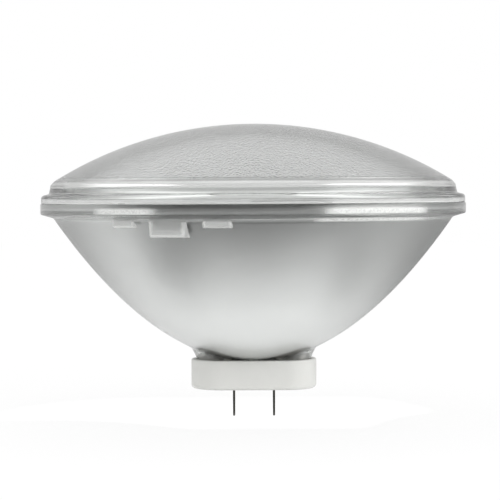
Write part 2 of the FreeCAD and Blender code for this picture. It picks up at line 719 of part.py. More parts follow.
def make_cap():
    """Pressed ceramic base: an obround tray, open towards the bulb, with a slot for each blade."""
    body = new_body("ceramic_base")
    outline = new_sketch(body, "cap_outline", "XY_Plane")
    draw_obround(outline, "cap_end", "cap_width / 2")
    pad(body, outline, "cap", "cap_height")
    doc.recompute()
    cavity = new_sketch(body, "cavity_outline", "XY_Plane", level="cap_floor")
    draw_obround(cavity, "cap_end", "cavity_radius")
    pocket(body, cavity, "cavity", "cap_height")
    slots = new_sketch(body, "slot_outline", "XY_Plane")
    half_width = "blade_width / 2 + slot_gap"
    for side in ("", "-1 * "):
        near = f"{side}(blade_offset - blade_thickness / 2 - slot_gap)"
        far = f"{side}(blade_offset + blade_thickness / 2 + slot_gap)"
        back = f"-1 * ({half_width})"
        draw_polygon(slots, [(near, back), (far, back), (far, half_width), (near, half_width)])
    pocket(body, slots, "slots", "cap_floor * 2")
    outer_end = number("cap_end + cap_width / 2")

    def is_outer(level):
        at_level = is_level(level)
        half = number("cap_width / 2")

        def test(edge):
            box = edge.BoundBox
            on_side = abs(abs(box.YMax) - half) < TOLERANCE or abs(abs(box.YMin) - half) < TOLERANCE
            return at_level(edge) and (on_side or abs(abs(box.XMax) - outer_end) < TOLERANCE)

        return test

    chamfer(body, "foot_edge", "cap_foot_bevel", is_outer("0"))
    chamfer(body, "lip_edge", "cap_lip_bevel", is_outer("cap_height"))
    return body


def make_prong(side):
    """Blade that leaves the cap through its slot, with a foot bent outwards to lie under the cup."""
    body = new_body(f"prong_{side}")
    section = new_sketch(body, "blade_section", "XZ_Plane")
    inner, outer = "blade_offset - blade_thickness / 2", "blade_offset + blade_thickness / 2"
    end = "boss_offset + foot_overrun"
    draw_polygon(
        section,
        [
            (inner, "-1 * blade_length"),
            (outer, "-1 * blade_length"),
            (outer, "cap_floor"),
            (end, "cap_floor"),
            (end, "foot_top"),
            (inner, "foot_top"),
        ],
    )
    blade = pad(body, section, "blade", "blade_width")
    blade.Midplane = True
    tip, half = number("-1 * blade_length"), number("blade_width / 2")
    heel = number("foot_top")

    def is_tip_corner(edge):
        box = edge.BoundBox
        at_tip = abs(box.ZMin - tip) < TOLERANCE and abs(box.ZMax - tip) < TOLERANCE
        return at_tip and box.YLength < TOLERANCE and abs(abs(box.YMin) - half) < TOLERANCE

    def is_heel(edge):
        box = edge.BoundBox
        at_heel = abs(box.ZMin - heel) < TOLERANCE and abs(box.ZMax - heel) < TOLERANCE
        return at_heel and abs(box.XMax - number(inner)) < TOLERANCE and box.XLength < TOLERANCE

    chamfer(body, "tip_bevel", "blade_corner", is_tip_corner)
    fillet(body, "heel_bend", "blade_thickness * 0.9", is_heel)
    place(body, half_turn=side == "left")
    return body


def check(bodies):
    """Stop if any object failed, or a sub-part has no valid single solid."""
    for item in doc.Objects:
        if "Invalid" in item.State or "Error" in item.State:
            raise RuntimeError(f"{item.Label}: {item.State}")
    for body in bodies:
        shape = body.Shape
        if shape.isNull() or not shape.isValid() or len(shape.Solids) != 1:
            raise RuntimeError(f"{body.Label}: not one valid solid")


def main():
    """Build every sub-part and write each to its own file."""
    fill_sheet()
    bodies = [make_reflector(), make_lens(), make_exhaust_tube()]
    for side in ("left", "right"):
        bodies += [
            make_ferrule(side),
            make_braze(side),
            make_lead_post(side),
            make_solder(side),
            make_cement(side),
            make_prong(side),
        ]
    bodies += [make_filament(), make_filament_hook(), make_bridge(), make_cap()]
    doc.recompute()
    check(bodies)
    os.makedirs("parts", exist_ok=True)
    for body in bodies:
        body.Shape.exportStep(os.path.join("parts", f"{body.Label}.step"))


main()
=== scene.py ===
"""Looks of a sealed reflector lamp: pressed glass, a silvered bowl, a ceramic base, two blades."""

import logging
import math
from dataclasses import dataclass, field
from enum import Enum

import bpy
import numpy as np
from mathutils import Euler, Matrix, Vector


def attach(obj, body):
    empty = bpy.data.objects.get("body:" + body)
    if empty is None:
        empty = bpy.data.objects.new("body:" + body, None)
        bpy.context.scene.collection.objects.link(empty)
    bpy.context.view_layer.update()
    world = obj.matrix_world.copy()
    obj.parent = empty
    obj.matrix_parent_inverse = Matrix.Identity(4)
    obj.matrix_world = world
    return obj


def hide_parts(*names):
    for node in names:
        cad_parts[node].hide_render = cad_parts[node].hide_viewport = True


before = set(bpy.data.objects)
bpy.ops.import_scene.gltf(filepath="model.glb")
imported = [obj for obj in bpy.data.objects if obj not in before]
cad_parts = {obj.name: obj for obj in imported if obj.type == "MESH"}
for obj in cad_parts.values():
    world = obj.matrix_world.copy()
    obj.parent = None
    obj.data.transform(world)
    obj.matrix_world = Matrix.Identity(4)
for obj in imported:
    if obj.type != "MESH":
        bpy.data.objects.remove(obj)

log = logging.getLogger("reflector_lamp")

Socket = bpy.types.NodeSocket
Span = tuple[float, float]
Triple = tuple[float, float, float]

MM = 0.001
BODY = "root"
SHARP_EDGE = math.radians(40)
FULL_TURN = 2 * math.pi


class Side(Enum):
    """The two ends of the base, each with its own terminal."""

    RIGHT = 1
    LEFT = -1


# Curves and surfaces


def fade(values: np.ndarray, start: float, end: float) -> np.ndarray:
    """0 before the start, 1 past the end, 3 t^2 - 2 t^3 between; the end may be the lower one."""
    share = np.clip((values - start) / (end - start), 0.0, 1.0)
    return share * share * (3.0 - 2.0 * share)


def axis_distance(points: np.ndarray) -> np.ndarray:
    """How far each point lies from the Z axis: sqrt(x^2 + y^2)."""
    return np.hypot(points[..., 0], points[..., 1])


def front_azimuth(points: np.ndarray) -> np.ndarray:
    """Degrees round the Z axis from the front, which is -Y, towards +X: atan2(x, -y)."""
    return np.degrees(np.arctan2(points[..., 0], -points[..., 1]))


def angle_between(angles: np.ndarray, middle: float, turn: float) -> np.ndarray:
    """Size of the shorter way round from each angle to a middle one, with a full turn's measure."""
    return np.abs(np.mod(angles - middle + turn / 2, turn) - turn / 2)


def polar(angles: np.ndarray, radius: float, centre: Span) -> np.ndarray:
    """Points of a circle: centre + radius (cos a, sin a)."""
    return np.array(centre) + radius * np.stack([np.cos(angles), np.sin(angles)], axis=-1)


def parabola(vertex: float, focal: float, radii: np.ndarray) -> np.ndarray:
    """Points of a parabola about the axis: z = vertex + r^2 / (4 focal)."""
    return np.stack([radii, vertex + radii**2 / (4.0 * focal)], axis=-1)


def rounded_path(corners: list[tuple], radii: list[float], steps: int = 5) -> np.ndarray:
    """A polyline whose inner corners are arcs.

    With unit vectors a and b from a corner to its neighbours and half the angle between them h,
    the arc touches both sides at radius / tan(h) from the corner, and its middle lies on the line
    that halves the corner, radius / sin(h) away. A point just before and after each arc keeps the
    flats flat.

    Args:
        corners: the corners, in two or three dimensions.
        radii: one radius for each inner corner, 0 for a sharp one.
        steps: spans of each arc.

    Returns:
        The path's points, one row each.
    """
    spots = np.array(corners, float)
    pieces = [spots[:1]]
    for corner, before, after, radius in zip(spots[1:-1], spots[:-2], spots[2:], radii):
        if radius == 0:
            pieces.append(corner[None])
            continue
        a = (before - corner) / np.linalg.norm(before - corner)
        b = (after - corner) / np.linalg.norm(after - corner)
        half = math.acos(float(np.clip(a @ b, -1, 1))) / 2
        reach = radius / math.tan(half)
        middle = corner + (a + b) / np.linalg.norm(a + b) * radius / math.sin(half)
        start, end = corner + a * reach - middle, corner + b * reach - middle
        turn = math.pi - 2 * half
        share = np.linspace(0, 1, steps + 1)[:, None]
        swing = np.sin((1 - share) * turn) * start + np.sin(share * turn) * end
        arc = middle + swing / math.sin(turn)
        pieces += [(arc[0] + a * radius * 0.2)[None], arc, (arc[-1] + b * radius * 0.2)[None]]
    pieces.append(spots[-1:])
    return np.concatenate(pieces)


def lengths_along(path: np.ndarray) -> np.ndarray:
    """The way from the path's start to each of its points."""
    return np.concatenate([[0.0], np.cumsum(np.linalg.norm(np.diff(path, axis=0), axis=1))])


def even_points(path: np.ndarray, count: int) -> np.ndarray:
    """The path again with points that are evenly spaced along its length.

    Args:
        path: points, one a row.
        count: how many points the new path has.

    Returns:
        The new path's points, one a row.
    """
    along = lengths_along(path)
    wanted = np.linspace(0, along[-1], count)
    return np.stack([np.interp(wanted, along, line) for line in path.T], axis=-1)


def turned(profile: np.ndarray, angles: np.ndarray) -> np.ndarray:
    """A profile (r, z) carried round the Z axis: (r cos a, r sin a, z) for each row and angle."""
    radius, level = profile[:, :1], profile[:, 1:2]
    return np.stack([radius * np.cos(angles), radius * np.sin(angles), level + 0 * angles], axis=-1)


def degree_turn() -> np.ndarray:
    """The angles of a full turn, one a degree."""
    return np.radians(np.arange(0, 360, 1.0))


def unit_rows(vectors: np.ndarray) -> np.ndarray:
    """The same vectors, each made one long."""
    return vectors / np.linalg.norm(vectors, axis=1, keepdims=True)


def tube(path: np.ndarray, across: np.ndarray, radius: float, sides: int) -> np.ndarray:
    """A round tube along a path, with flat ends.

    Its points are P + radius (N cos a + B sin a), with N square to the path and B = T x N.

    Args:
        path: the tube's middle line, one point a row.
        across: a direction for each point that isn't along the path.
        radius: the tube's radius.
        sides: points round the tube.

    Returns:
        Points as rows (stations) and columns (round the tube).
    """
    tangent = unit_rows(np.gradient(path, axis=0))
    normal = unit_rows(across - (across * tangent).sum(1, keepdims=True) * tangent)
    binormal = np.cross(tangent, normal)
    angles = (np.arange(sides) * FULL_TURN / sides)[:, None]
    ring = normal[:, None] * np.cos(angles) + binormal[:, None] * np.sin(angles)
    return end_capped(path[:, None] + radius * ring)


def end_capped(grid: np.ndarray) -> np.ndarray:
    """The grid with one more row at each end, drawn together to that end's middle.

    Args:
        grid: points as rows and columns.

    Returns:
        The longer grid.
    """
    first = np.broadcast_to(grid[0].mean(0), grid[0].shape)
    last = np.broadcast_to(grid[-1].mean(0), grid[-1].shape)
    return np.concatenate([first[None], grid, last[None]])


@dataclass
class Skin:
    """A closed surface: points in millimetres, faces as corner numbers, named values per point."""

    points: np.ndarray
    faces: list[list[int]]
    values: dict[str, np.ndarray] = field(default_factory=dict)

    def facing_out(self) -> "Skin":
        """Turn the faces outwards: the volume, the sum of a . (b x c) / 6, is made positive.

        Returns:
            The same skin.
        """
        volume = 0.0
        for corner in (1, 2):
            long_enough = [face for face in self.faces if len(face) > corner + 1]
            fans = np.array([[f[0], f[corner], f[corner + 1]] for f in long_enough])
            if len(fans):
                a, b, c = (self.points[fans[:, k]] for k in range(3))
                volume += float((a * np.cross(b, c)).sum()) / 6
        if volume < 0:
            self.faces = [face[::-1] for face in self.faces]
        return self


def quads(
    rows: int, columns: int, wrap_columns: bool = True, wrap_rows: bool = False
) -> np.ndarray:
    """Faces between neighbouring rows and columns of a grid that is numbered row by row.

    Args:
        rows: the grid's rows.
        columns: the grid's columns.
        wrap_columns: whether the last column meets the first.
        wrap_rows: whether the last row meets the first.

    Returns:
        Four corner numbers a row.
    """
    row = np.arange(rows if wrap_rows else rows - 1)[:, None]
    column = np.arange(columns if wrap_columns else columns - 1)[None, :]
    up, right = (row + 1) % rows, (column + 1) % columns
    corners = [
        row * columns + column,
        row * columns + right,
        up * columns + right,
        up * columns + column,
    ]
    return np.stack(corners, axis=-1).reshape(-1, 4)


def ring_skin(grid: np.ndarray, values: dict[str, np.ndarray] | None = None) -> Skin:
    """A skin like a tyre: the grid's rows and its columns both run round.

    Args:
        grid: points as rows and columns.
        values: a named value for each of the grid's points.

    Returns:
        The skin, facing outwards.
    """
    faces = quads(*grid.shape[:2], wrap_rows=True).tolist()
    flat = {name: value.reshape(-1) for name, value in (values or {}).items()}
    return Skin(grid.reshape(-1, 3), faces, flat).facing_out()


def capped_skin(grid: np.ndarray, values: dict[str, np.ndarray] | None = None) -> Skin:
    """A skin like a ball: the columns run round, and the first and last row are each one point.

    Args:
        grid: points as rows and columns.
        values: a named value for each of the grid's points.

    Returns:
        The skin, facing outwards.
    """
    rows, columns = grid.shape[:2]
    points = np.concatenate([grid[:1, 0], grid[1:-1].reshape(-1, 3), grid[-1:, 0]])
    faces = (quads(rows - 2, columns) + 1).tolist()
    column = np.arange(columns)
    after = (column + 1) % columns
    last = len(points) - 1
    top = last - columns
    faces += np.stack([0 * column, 1 + after, 1 + column], axis=-1).tolist()
    faces += np.stack([0 * column + last, top + column, top + after], axis=-1).tolist()
    flat = {
        name: np.concatenate([value[:1, 0], value[1:-1].reshape(-1), value[-1:, 0]])
        for name, value in (values or {}).items()
    }
    return Skin(points, faces, flat).facing_out()


# Finishes


@dataclass
class Graph:
    """A short way to build the nodes of a material or a world."""

    nodes: bpy.types.Nodes
    links: bpy.types.NodeLinks

    def feed(self, place: Socket, value: Socket | float | tuple) -> None:
        """Link a socket to a place, or set the place to a plain value.

        Args:
            place: the input to feed.
            value: an output, or a number or numbers.
        """
        if isinstance(value, Socket):
            self.links.new(value, place)
        else:
            place.default_value = value

    def math(self, operation: str, *values: Socket | float) -> Socket:
        """One math node.

        Args:
            operation: what it does.
            values: what goes in, in order.

        Returns:
            The result.
        """
        node = self.nodes.new("ShaderNodeMath")
        node.operation = operation
        for place, value in zip(node.inputs, values):
            self.feed(place, value)
        return node.outputs["Value"]

    def product(self, *values: Socket | float) -> Socket:
        """All the numbers multiplied together.

        Args:
            values: what is multiplied, a socket first.

        Returns:
            The product.
        """
        result = values[0]
        for value in values[1:]:
            result = self.math("MULTIPLY", result, value)
        return result

    def ramp(self, source: Socket, start: float, end: float, low: float, high: float) -> Socket:
        """A number that runs smoothly from low to high while the source runs from start to end.

        Args:
            source: the number that leads.
            start: where the run begins.
            end: where it ends.
            low: the result up to the start.
            high: the result from the end on.

        Returns:
            The result.
        """
        fit = self.nodes.new("ShaderNodeMapRange")
        fit.interpolation_type = "SMOOTHSTEP"
        limits = {"From Min": start, "From Max": end, "To Min": low, "To Max": high}
        for name, value in limits.items():
            fit.inputs[name].default_value = value
        self.links.new(source, fit.inputs["Value"])
        return fit.outputs["Result"]

    def vector_math(
        self, operation: str, source: Socket, other: Triple | None = None, result: str = "Value"
    ) -> Socket:
        """One vector math node.

        Args:
            operation: what it does.
            source: the vector that goes in.
            other: a second, plain vector.
            result: the output's name.

        Returns:
            That output.
        """
        node = self.nodes.new("ShaderNodeVectorMath")
        node.operation = operation
        self.links.new(source, node.inputs[0])
        if other:
            node.inputs[1].default_value = other
        return node.outputs[result]

    def dot(self, source: Socket, direction: Triple) -> Socket:
        """The source vector's share along a direction."""
        return self.vector_math("DOT_PRODUCT", source, direction)

    def distance(self, source: Socket, spot: Triple) -> Socket:
        """How far the source vector lies from a spot."""
        return self.vector_math("DISTANCE", source, spot)

    def level(self, source: Socket) -> Socket:
        """The source vector laid level and made one long."""
        flat = self.vector_math("MULTIPLY", source, (1.0, 1.0, 0.0), "Vector")
        return self.vector_math("NORMALIZE", flat, result="Vector")

    def place(self, kind: str) -> Socket:
        """The shaded spot's coordinates of that kind."""
        return self.nodes.new("ShaderNodeTexCoord").outputs[kind]

    def noise(self, scale: float, detail: float = 3.0) -> Socket:
        """A cloud of noise fixed to the piece.

        Args:
            scale: cells in a metre.
            detail: how many finer layers it has.

        Returns:
            The noise, about 0.3 to 0.7.
        """
        noise = self.nodes.new("ShaderNodeTexNoise")
        noise.inputs["Scale"].default_value = scale
        noise.inputs["Detail"].default_value = detail
        self.links.new(self.place("Object"), noise.inputs["Vector"])
        return noise.outputs["Fac"]

    def rays(self, kind: str) -> Socket:
        """1 for rays of that kind."""
        return self.nodes.new("ShaderNodeLightPath").outputs[kind]

    def surface_value(self, name: str) -> Socket:
        """A piece's own value on its surface.

        Args:
            name: the value's name.

        Returns:
            The value, 0 where the piece has none.
        """
        node = self.nodes.new("ShaderNodeAttribute")
        node.attribute_name = name
        return node.outputs["Fac"]

    def mix(self, share: Socket, first: Socket | Triple, second: Socket | Triple) -> Socket:
        """A colour between two.

        Args:
            share: 0 for the first and 1 for the second.
            first: a colour.
            second: the other colour.

        Returns:
            The mixed colour.
        """
        node = self.nodes.new("ShaderNodeMix")
        node.data_type = "RGBA"
        self.links.new(share, node.inputs["Factor"])
        for name, value in (("A", first), ("B", second)):
            self.feed(node.inputs[name], value if isinstance(value, Socket) else (*value, 1))
        return node.outputs["Result"]


@dataclass(frozen=True)
class Finish:
    """A surface finish: its own colour and gloss, and the fine unevenness of the real one."""

    name: str
    color: Triple
    roughness: float
    mottle: float = 0.04
    grain: float = 400.0
    relief: float = 0.0

    def material(self) -> bpy.types.Material:
        """The finish as a material, made once.

        Returns:
            The material of this name.
        """
        made = bpy.data.materials.get(self.name)
        if made:
            return made
        made = bpy.data.materials.new(self.name)
        made.use_nodes = True
        graph = Graph(made.node_tree.nodes, made.node_tree.links)
        shader = graph.nodes["Principled BSDF"]
        shader.inputs["Base Color"].default_value = (*self.color, 1)
        shader.inputs["Roughness"].default_value = self.roughness
        self.dress(graph, shader)
        return made

    def dress(self, graph: Graph, shader: bpy.types.Node) -> None:
        """Mottle the colour and give the surface its relief.

        Args:
            graph: the material's nodes.
            shader: its shader.
        """
        noise = graph.noise(self.grain)
        self.mottle_color(graph, shader, noise)
        self.bump(graph, shader, noise, self.relief)

    def mottle_color(self, graph: Graph, shader: bpy.types.Node, noise: Socket) -> None:
        """Let the colour drift a little darker and lighter.

        Args:
            graph: the material's nodes.
            shader: its shader.
            noise: what the drift follows.
        """
        dark = tuple(c * (1 - self.mottle) for c in self.color)
        light = tuple(min(1.0, c * (1 + self.mottle)) for c in self.color)
        graph.links.new(graph.mix(noise, dark, light), shader.inputs["Base Color"])

    def bump(
        self, graph: Graph, shader: bpy.types.Node, height: Socket, distance: float
    ) -> None:
        """Raise and sink the surface's light by a height.

        Args:
            graph: the material's nodes.
            shader: its shader.
            height: the relief, 0 to 1.
            distance: the relief's full height in metres, 0 for none.
        """
        if distance == 0:
            return
        bump = graph.nodes.new("ShaderNodeBump")
        bump.inputs["Distance"].default_value = distance
        bump.inputs["Strength"].default_value = 1.0
        graph.links.new(height, bump.inputs["Height"])
        graph.links.new(bump.outputs["Normal"], shader.inputs["Normal"])


@dataclass(frozen=True)
class MetalFinish(Finish):
    """Bare or plated metal with a slightly uneven gloss."""

    spread: float = 0.08

    def dress(self, graph: Graph, shader: bpy.types.Node) -> None:
        """Metal, with its roughness drifting by the spread.

        Args:
            graph: the material's nodes.
            shader: its shader.
        """
        shader.inputs["Metallic"].default_value = 1.0
        super().dress(graph, shader)
        rougher = self.roughness + self.spread
        drift = graph.ramp(graph.noise(self.grain), 0.3, 0.7, self.roughness, rougher)
        graph.links.new(drift, shader.inputs["Roughness"])


@dataclass(frozen=True)
class CeramicFinish(Finish):
    """Pressed ceramic under a thin glaze, or cement without one."""

    coat: float = 0.25
    coat_roughness: float = 0.25
    fineness: float = 9.0

    def dress(self, graph: Graph, shader: bpy.types.Node) -> None:
        """Cloudy body, a fine soft relief and a thin glaze.

        Args:
            graph: the material's nodes.
            shader: its shader.
        """
        shader.inputs["Coat Weight"].default_value = self.coat
        shader.inputs["Coat Roughness"].default_value = self.coat_roughness
        self.mottle_color(graph, shader, graph.noise(self.grain))
        fine = graph.noise(self.grain * self.fineness, detail=5.0)
        self.bump(graph, shader, fine, self.relief)


@dataclass(frozen=True)
class GlassFinish(Finish):
    """Clear pressed glass that is led by three values of its own surface.

    Where 'worked' is 1 it is stippled or satin. The second value whitens it, partly as a haze
    of the glass and partly as painted highlights and reflections. Where 'thick' is more than 0
    it is that much darker, which is painted shade.
    """

    worked_roughness: float = 0.0
    stipple: float = 0.0
    stipple_scale: float = 1300.0
    shade: float = 0.0
    ripple: float = 0.0
    ripple_scale: float = 70.0
    # The whitish colour and its weight stand partly for haze and partly for painted highlights and
    # reflections.
    cloud: float = 0.5
    haze_highlight_color: Triple = (0.93, 0.94, 0.92)
    frost_roughness: float = 1.6
    refraction: float = 1.47
    dark: float = 0.2
    holes: float = 0.45

    def dress(self, graph: Graph, shader: bpy.types.Node) -> None:
        """Glass with a faint pressed ripple, worked areas, haze, painted highlights and painted
        shade.

        Args:
            graph: the material's nodes.
            shader: its shader.
        """
        shader.inputs["IOR"].default_value = self.refraction
        worked, frost, thick = (graph.surface_value(name) for name in ("worked", "frost", "thick"))
        grain = graph.noise(self.stipple_scale, detail=1.5)
        edge = graph.ramp(graph.math("ADD", worked, grain), 0.9, 1.15, 0.0, 1.0)

        rough = graph.math("MAXIMUM", worked, graph.product(frost, self.frost_roughness))
        gloss = graph.ramp(rough, 0.0, 1.0, self.roughness, self.worked_roughness)
        graph.links.new(gloss, shader.inputs["Roughness"])

        wave = graph.noise(self.ripple_scale, detail=1.0)
        height = graph.product(grain, edge, self.stipple / MM)
        height = graph.math("MULTIPLY_ADD", wave, self.ripple / MM, height)
        self.bump(graph, shader, height, MM)

        speckle = graph.ramp(grain, 0.38, 0.62, 0.0, 1.0)
        # Painted shade: where 'thick' is above 0, the colour is darkened.
        dim = graph.math("MAXIMUM", graph.product(edge, speckle, self.shade), thick)
        tint = graph.mix(dim, self.color, tuple(c * self.dark for c in self.color))
        # Partly haze, partly painted highlight and reflection: the second value whitens the colour
        # and cuts the transmission.
        hole = graph.ramp(grain, 0.35, 0.6, self.holes, 0.0)
        gap = graph.product(graph.math("POWER", frost, 4.0), hole)
        whitened = graph.product(frost, graph.math("SUBTRACT", 1.0, gap))
        graph.links.new(graph.mix(whitened, tint, self.haze_highlight_color), shader.inputs["Base Color"])
        weight = graph.math("MULTIPLY_ADD", whitened, -self.cloud, 1.0)
        graph.links.new(weight, shader.inputs["Transmission Weight"])


LENS_GLASS = GlassFinish(
    "stippled_glass",
    (0.985, 0.992, 0.986),
    0.02,
    worked_roughness=0.3,
    stipple=0.26 * MM,
    shade=0.05,
    ripple=0.1 * MM,
    cloud=0.85,
)
BOWL_GLASS = GlassFinish(
    "pressed_glass",
    (0.965, 0.98, 0.968),
    0.02,
    worked_roughness=0.22,
    shade=0.01,
    ripple=0.05 * MM,
    cloud=0.75,
)
TUBE_GLASS = GlassFinish("tube_glass", (0.965, 0.98, 0.968), 0.02, ripple=0.05 * MM)
SILVER_BACK = MetalFinish("silver_back", (0.95, 0.955, 0.95), 0.3, 0.03, 120.0, spread=0.03)
SILVER_FACE = MetalFinish("silver_face", (0.93, 0.935, 0.93), 0.12, 0.02, 120.0)
BASE_CERAMIC = CeramicFinish("base_ceramic", (0.7, 0.702, 0.676), 0.42, 0.03, 160.0, 0.03 * MM)
BRIDGE_CERAMIC = CeramicFinish(
    "bridge_body", (0.78, 0.77, 0.73), 0.6, grain=300.0, relief=0.03 * MM, coat=0.0
)
CEMENT = CeramicFinish("cement_finish", (0.62, 0.6, 0.55), 0.9, 0.12, 900.0, 0.1 * MM, coat=0.0)
# Painted shade: the blades are made nearly black, darker than their plated metal, for the dark
# reflections they show.
BLADE_PAINTED_DARK = MetalFinish("blade_plate", (0.06, 0.058, 0.052), 0.3, 0.08, 500.0, 0.01 * MM)
CUP_METAL = MetalFinish("cup_alloy", (0.52, 0.51, 0.49), 0.3, 0.06, 500.0)
BRAZE_METAL = MetalFinish("braze_alloy", (0.66, 0.56, 0.4), 0.35, 0.1, 700.0, 0.05 * MM)
SOLDER_METAL = MetalFinish("solder_alloy", (0.6, 0.6, 0.6), 0.3, 0.08, 700.0, 0.08 * MM)
POST_METAL = MetalFinish("post_wire", (0.55, 0.55, 0.54), 0.28, 0.05, 900.0)
FILAMENT_METAL = MetalFinish("tungsten", (0.24, 0.24, 0.25), 0.45, 0.12, 2500.0, 0.02 * MM)


# Sub-assemblies


@dataclass
class SubAssembly:
    """What every sub-assembly shares: it makes pieces that ride with the lamp and reports them."""

    def add_piece(
        self,
        name: str,
        skin: Skin,
        finishes: list[Finish],
        replaces: tuple[str, ...] = (),
        slot: str = "",
    ) -> bpy.types.Object:
        """Put a skin into the scene as a piece.

        Args:
            name: the piece's name.
            skin: its surface, in millimetres.
            finishes: the first covers the piece, and others are for faces set to them later.
            replaces: the frame's nodes that it stands for.
            slot: a material slot's name; not used.

        Returns:
            The piece.
        """
        mesh = bpy.data.meshes.new(name)
        mesh.from_pydata((skin.points * MM).tolist(), [], skin.faces)
        for label, value in skin.values.items():
            layer = mesh.attributes.new(label, "FLOAT", "POINT")
            layer.data.foreach_set("value", np.ascontiguousarray(value, dtype=np.float32))
        mesh.shade_smooth()
        mesh.set_sharp_from_angle(angle=SHARP_EDGE)
        for finish in finishes:
            mesh.materials.append(finish.material())
        mesh.validate()
        piece = bpy.data.objects.new(name, mesh)
        bpy.context.scene.collection.objects.link(piece)
        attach(piece, BODY)
        if replaces:
            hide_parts(*replaces)
        log.info("%s: %d points, %d faces", name, len(skin.points), len(skin.faces))
        return piece

    def dress_node(self, node: str, finish: Finish) -> None:
        """Give one of the frame's own solids a finish.

        Args:
            node: the solid's name in the frame.
            finish: what it gets.
        """
        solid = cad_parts[node]
        for place in solid.material_slots:
            place.material = finish.material()
        log.info("%s: frame solid in %s", node, finish.name)


@dataclass
class Bowl(SubAssembly):
    """Pressed glass bowl with its rim, key lugs and bosses, and the mirror film on its inside."""

    rim_radius: float = 88.9
    rim_foot: float = 73.4
    rim_round: float = 0.9
    rim_skin: float = 0.6
    seam_level: float = 77.8
    seam_air: float = 0.03
    seam_round: float = 0.35
    mouth_radius: float = 82.0
    mouth_level: float = 74.4
    bowl_bottom: float = 11.4
    bowl_focal: float = 28.87
    vertex_wall: float = 3.2
    mirror_focal: float = 28.11
    film_wall: float = 0.06
    film_top: float = 77.5
    neck_radius: float = 83.57
    neck_level: float = 71.87
    neck_round: float = 1.6
    neck_steps: int = 34
    outer_split: float = 27.0
    outer_steps: tuple[int, int] = (64, 24)
    mirror_split: float = 28.0
    mirror_steps: tuple[int, int] = (22, 50)
    edge_steps: int = 8
    hole_radius: float = 2.0
    boss_offset: float = 18.0
    boss_radius: float = 5.6
    boss_foot: float = 11.2
    boss_slope: float = 1 / math.tan(math.radians(22))
    boss_edge: float = 1.6
    boss_root: float = 1.6
    well_radius: float = 4.05
    well_round: float = 0.6
    well_floor: float = 15.6
    key_azimuth: float = 23.2
    key_spread: float = 13.8
    key_face: float = 83.3
    key_start: float = 63.2
    key_end: float = 84.6
    key_round: float = 1.1
    key_root_round: float = 0.3
    key_head_round: float = 0.25
    key_fade: float = 1.1
    # Each lug's place in steps of the spread, its width and the level of its foot.
    keys: tuple[Triple, ...] = ((0.0, 15.4, 65.1), (-1.0, 10.9, 68.7), (1.0, 10.9, 68.7))
    # Looks: the spans over which satin, haze and painted highlights come in, and how strong they
    # are.
    # Levels under the neck and radii inside it are counted from it, and a lug's spans are shares of
    # its size.
    wall_skin: Span = (0.05, 0.25)
    satin_boss: Span = (8.0, 11.0)
    satin_foot: Span = (16.6, 17.8)
    satin_top: Span = (1.0, 2.5)
    # Painted highlight: a whitish haze round each boss stands in for its glints.
    boss_highlight_span: Span = (9.0, 7.0)
    boss_highlight_haze: float = 0.35
    lug_haze: float = 0.24
    # Painted highlight along the lugs' sides and foot.
    lug_edge_highlight: float = 0.36
    lug_top: Span = (-0.2, 0.6)
    lug_reach: Span = (1.3, 1.1)
    lug_side: Span = (0.7, 0.9)
    lug_foot: Span = (0.25, 0.1)
    arch_clearing: float = 0.8
    arch_side: Span = (0.6, 0.35)
    arch_foot: Span = (0.45, 0.75)
    # Painted highlight along the bend under the rim, stronger over a span of azimuths.
    bend_in: Span = (0.9, 0.3)
    bend_out: float = 0.4
    bend_highlight: float = 0.28
    bend_highlight_span: Span = (17.0, 53.0)
    bend_highlight_fade: Span = (2.0, 7.0)
    belt: Span = (73.65, 76.3)
    belt_fade: float = 0.5
    belt_haze: float = 0.12
    # Painted highlight: whiter patches on the rim's belt where the light catches it.
    highlight_patch_haze: float = 0.85
    highlight_patch_fade: float = 3.0
    highlight_patches: tuple[Span, ...] = ((-43.0, -25.0), (18.0, 49.0), (100.0, 130.0), (170.0, 215.0))

    def key_angles(self) -> list[Triple]:
        """The lugs' places.

        Returns:
            Middle, half width and foot of each lug, the first two as angles from +X.
        """
        middle = -90 - self.key_azimuth
        return [
            (
                math.radians(middle + turn * self.key_spread),
                math.asin(width / 2 / self.key_face),
                foot,
            )
            for turn, width, foot in self.keys
        ]

    def columns(self) -> np.ndarray:
        """Angles of the grid's columns: one a degree, and closer at the sides of the lugs.

        Returns:
            The angles in rising order.
        """
        fine = [
            middle + side * half + np.radians(np.linspace(-1.2, 1.2, 15))
            for middle, half, _ in self.key_angles()
            for side in (-1, 1)
        ]
        every = np.mod(np.concatenate([degree_turn(), *fine]), FULL_TURN)
        return np.unique(np.round(every, 4))

    def boss_distance(self, points: np.ndarray) -> np.ndarray:
        """How far each point lies from the nearer boss's axis, measured level."""
        return np.hypot(np.abs(points[..., 0]) - self.boss_offset, points[..., 1])

    def lower_bosses(self, grid: np.ndarray) -> np.ndarray:
        """The outer wall with its bosses.

        A boss's level is foot + (h + sqrt(h^2 + e^2)) / 2 with h = slope (d - radius), and the
        wall is the smooth lower of that and the bowl: (a + b - sqrt((a - b)^2 + m^2)) / 2.

        Args:
            grid: the plain outer wall.

        Returns:
            The wall with the bosses.
        """
        height = self.boss_slope * (self.boss_distance(grid) - self.boss_radius)
        boss = self.boss_foot + 0.5 * (height + np.sqrt(height**2 + self.boss_edge**2))
        wall = grid[..., 2]
        lower = 0.5 * (wall + boss - np.sqrt((wall - boss) ** 2 + self.boss_root**2))
        shaped = grid.copy()
        shaped[..., 2] = np.maximum(lower, self.boss_foot)
        return shaped

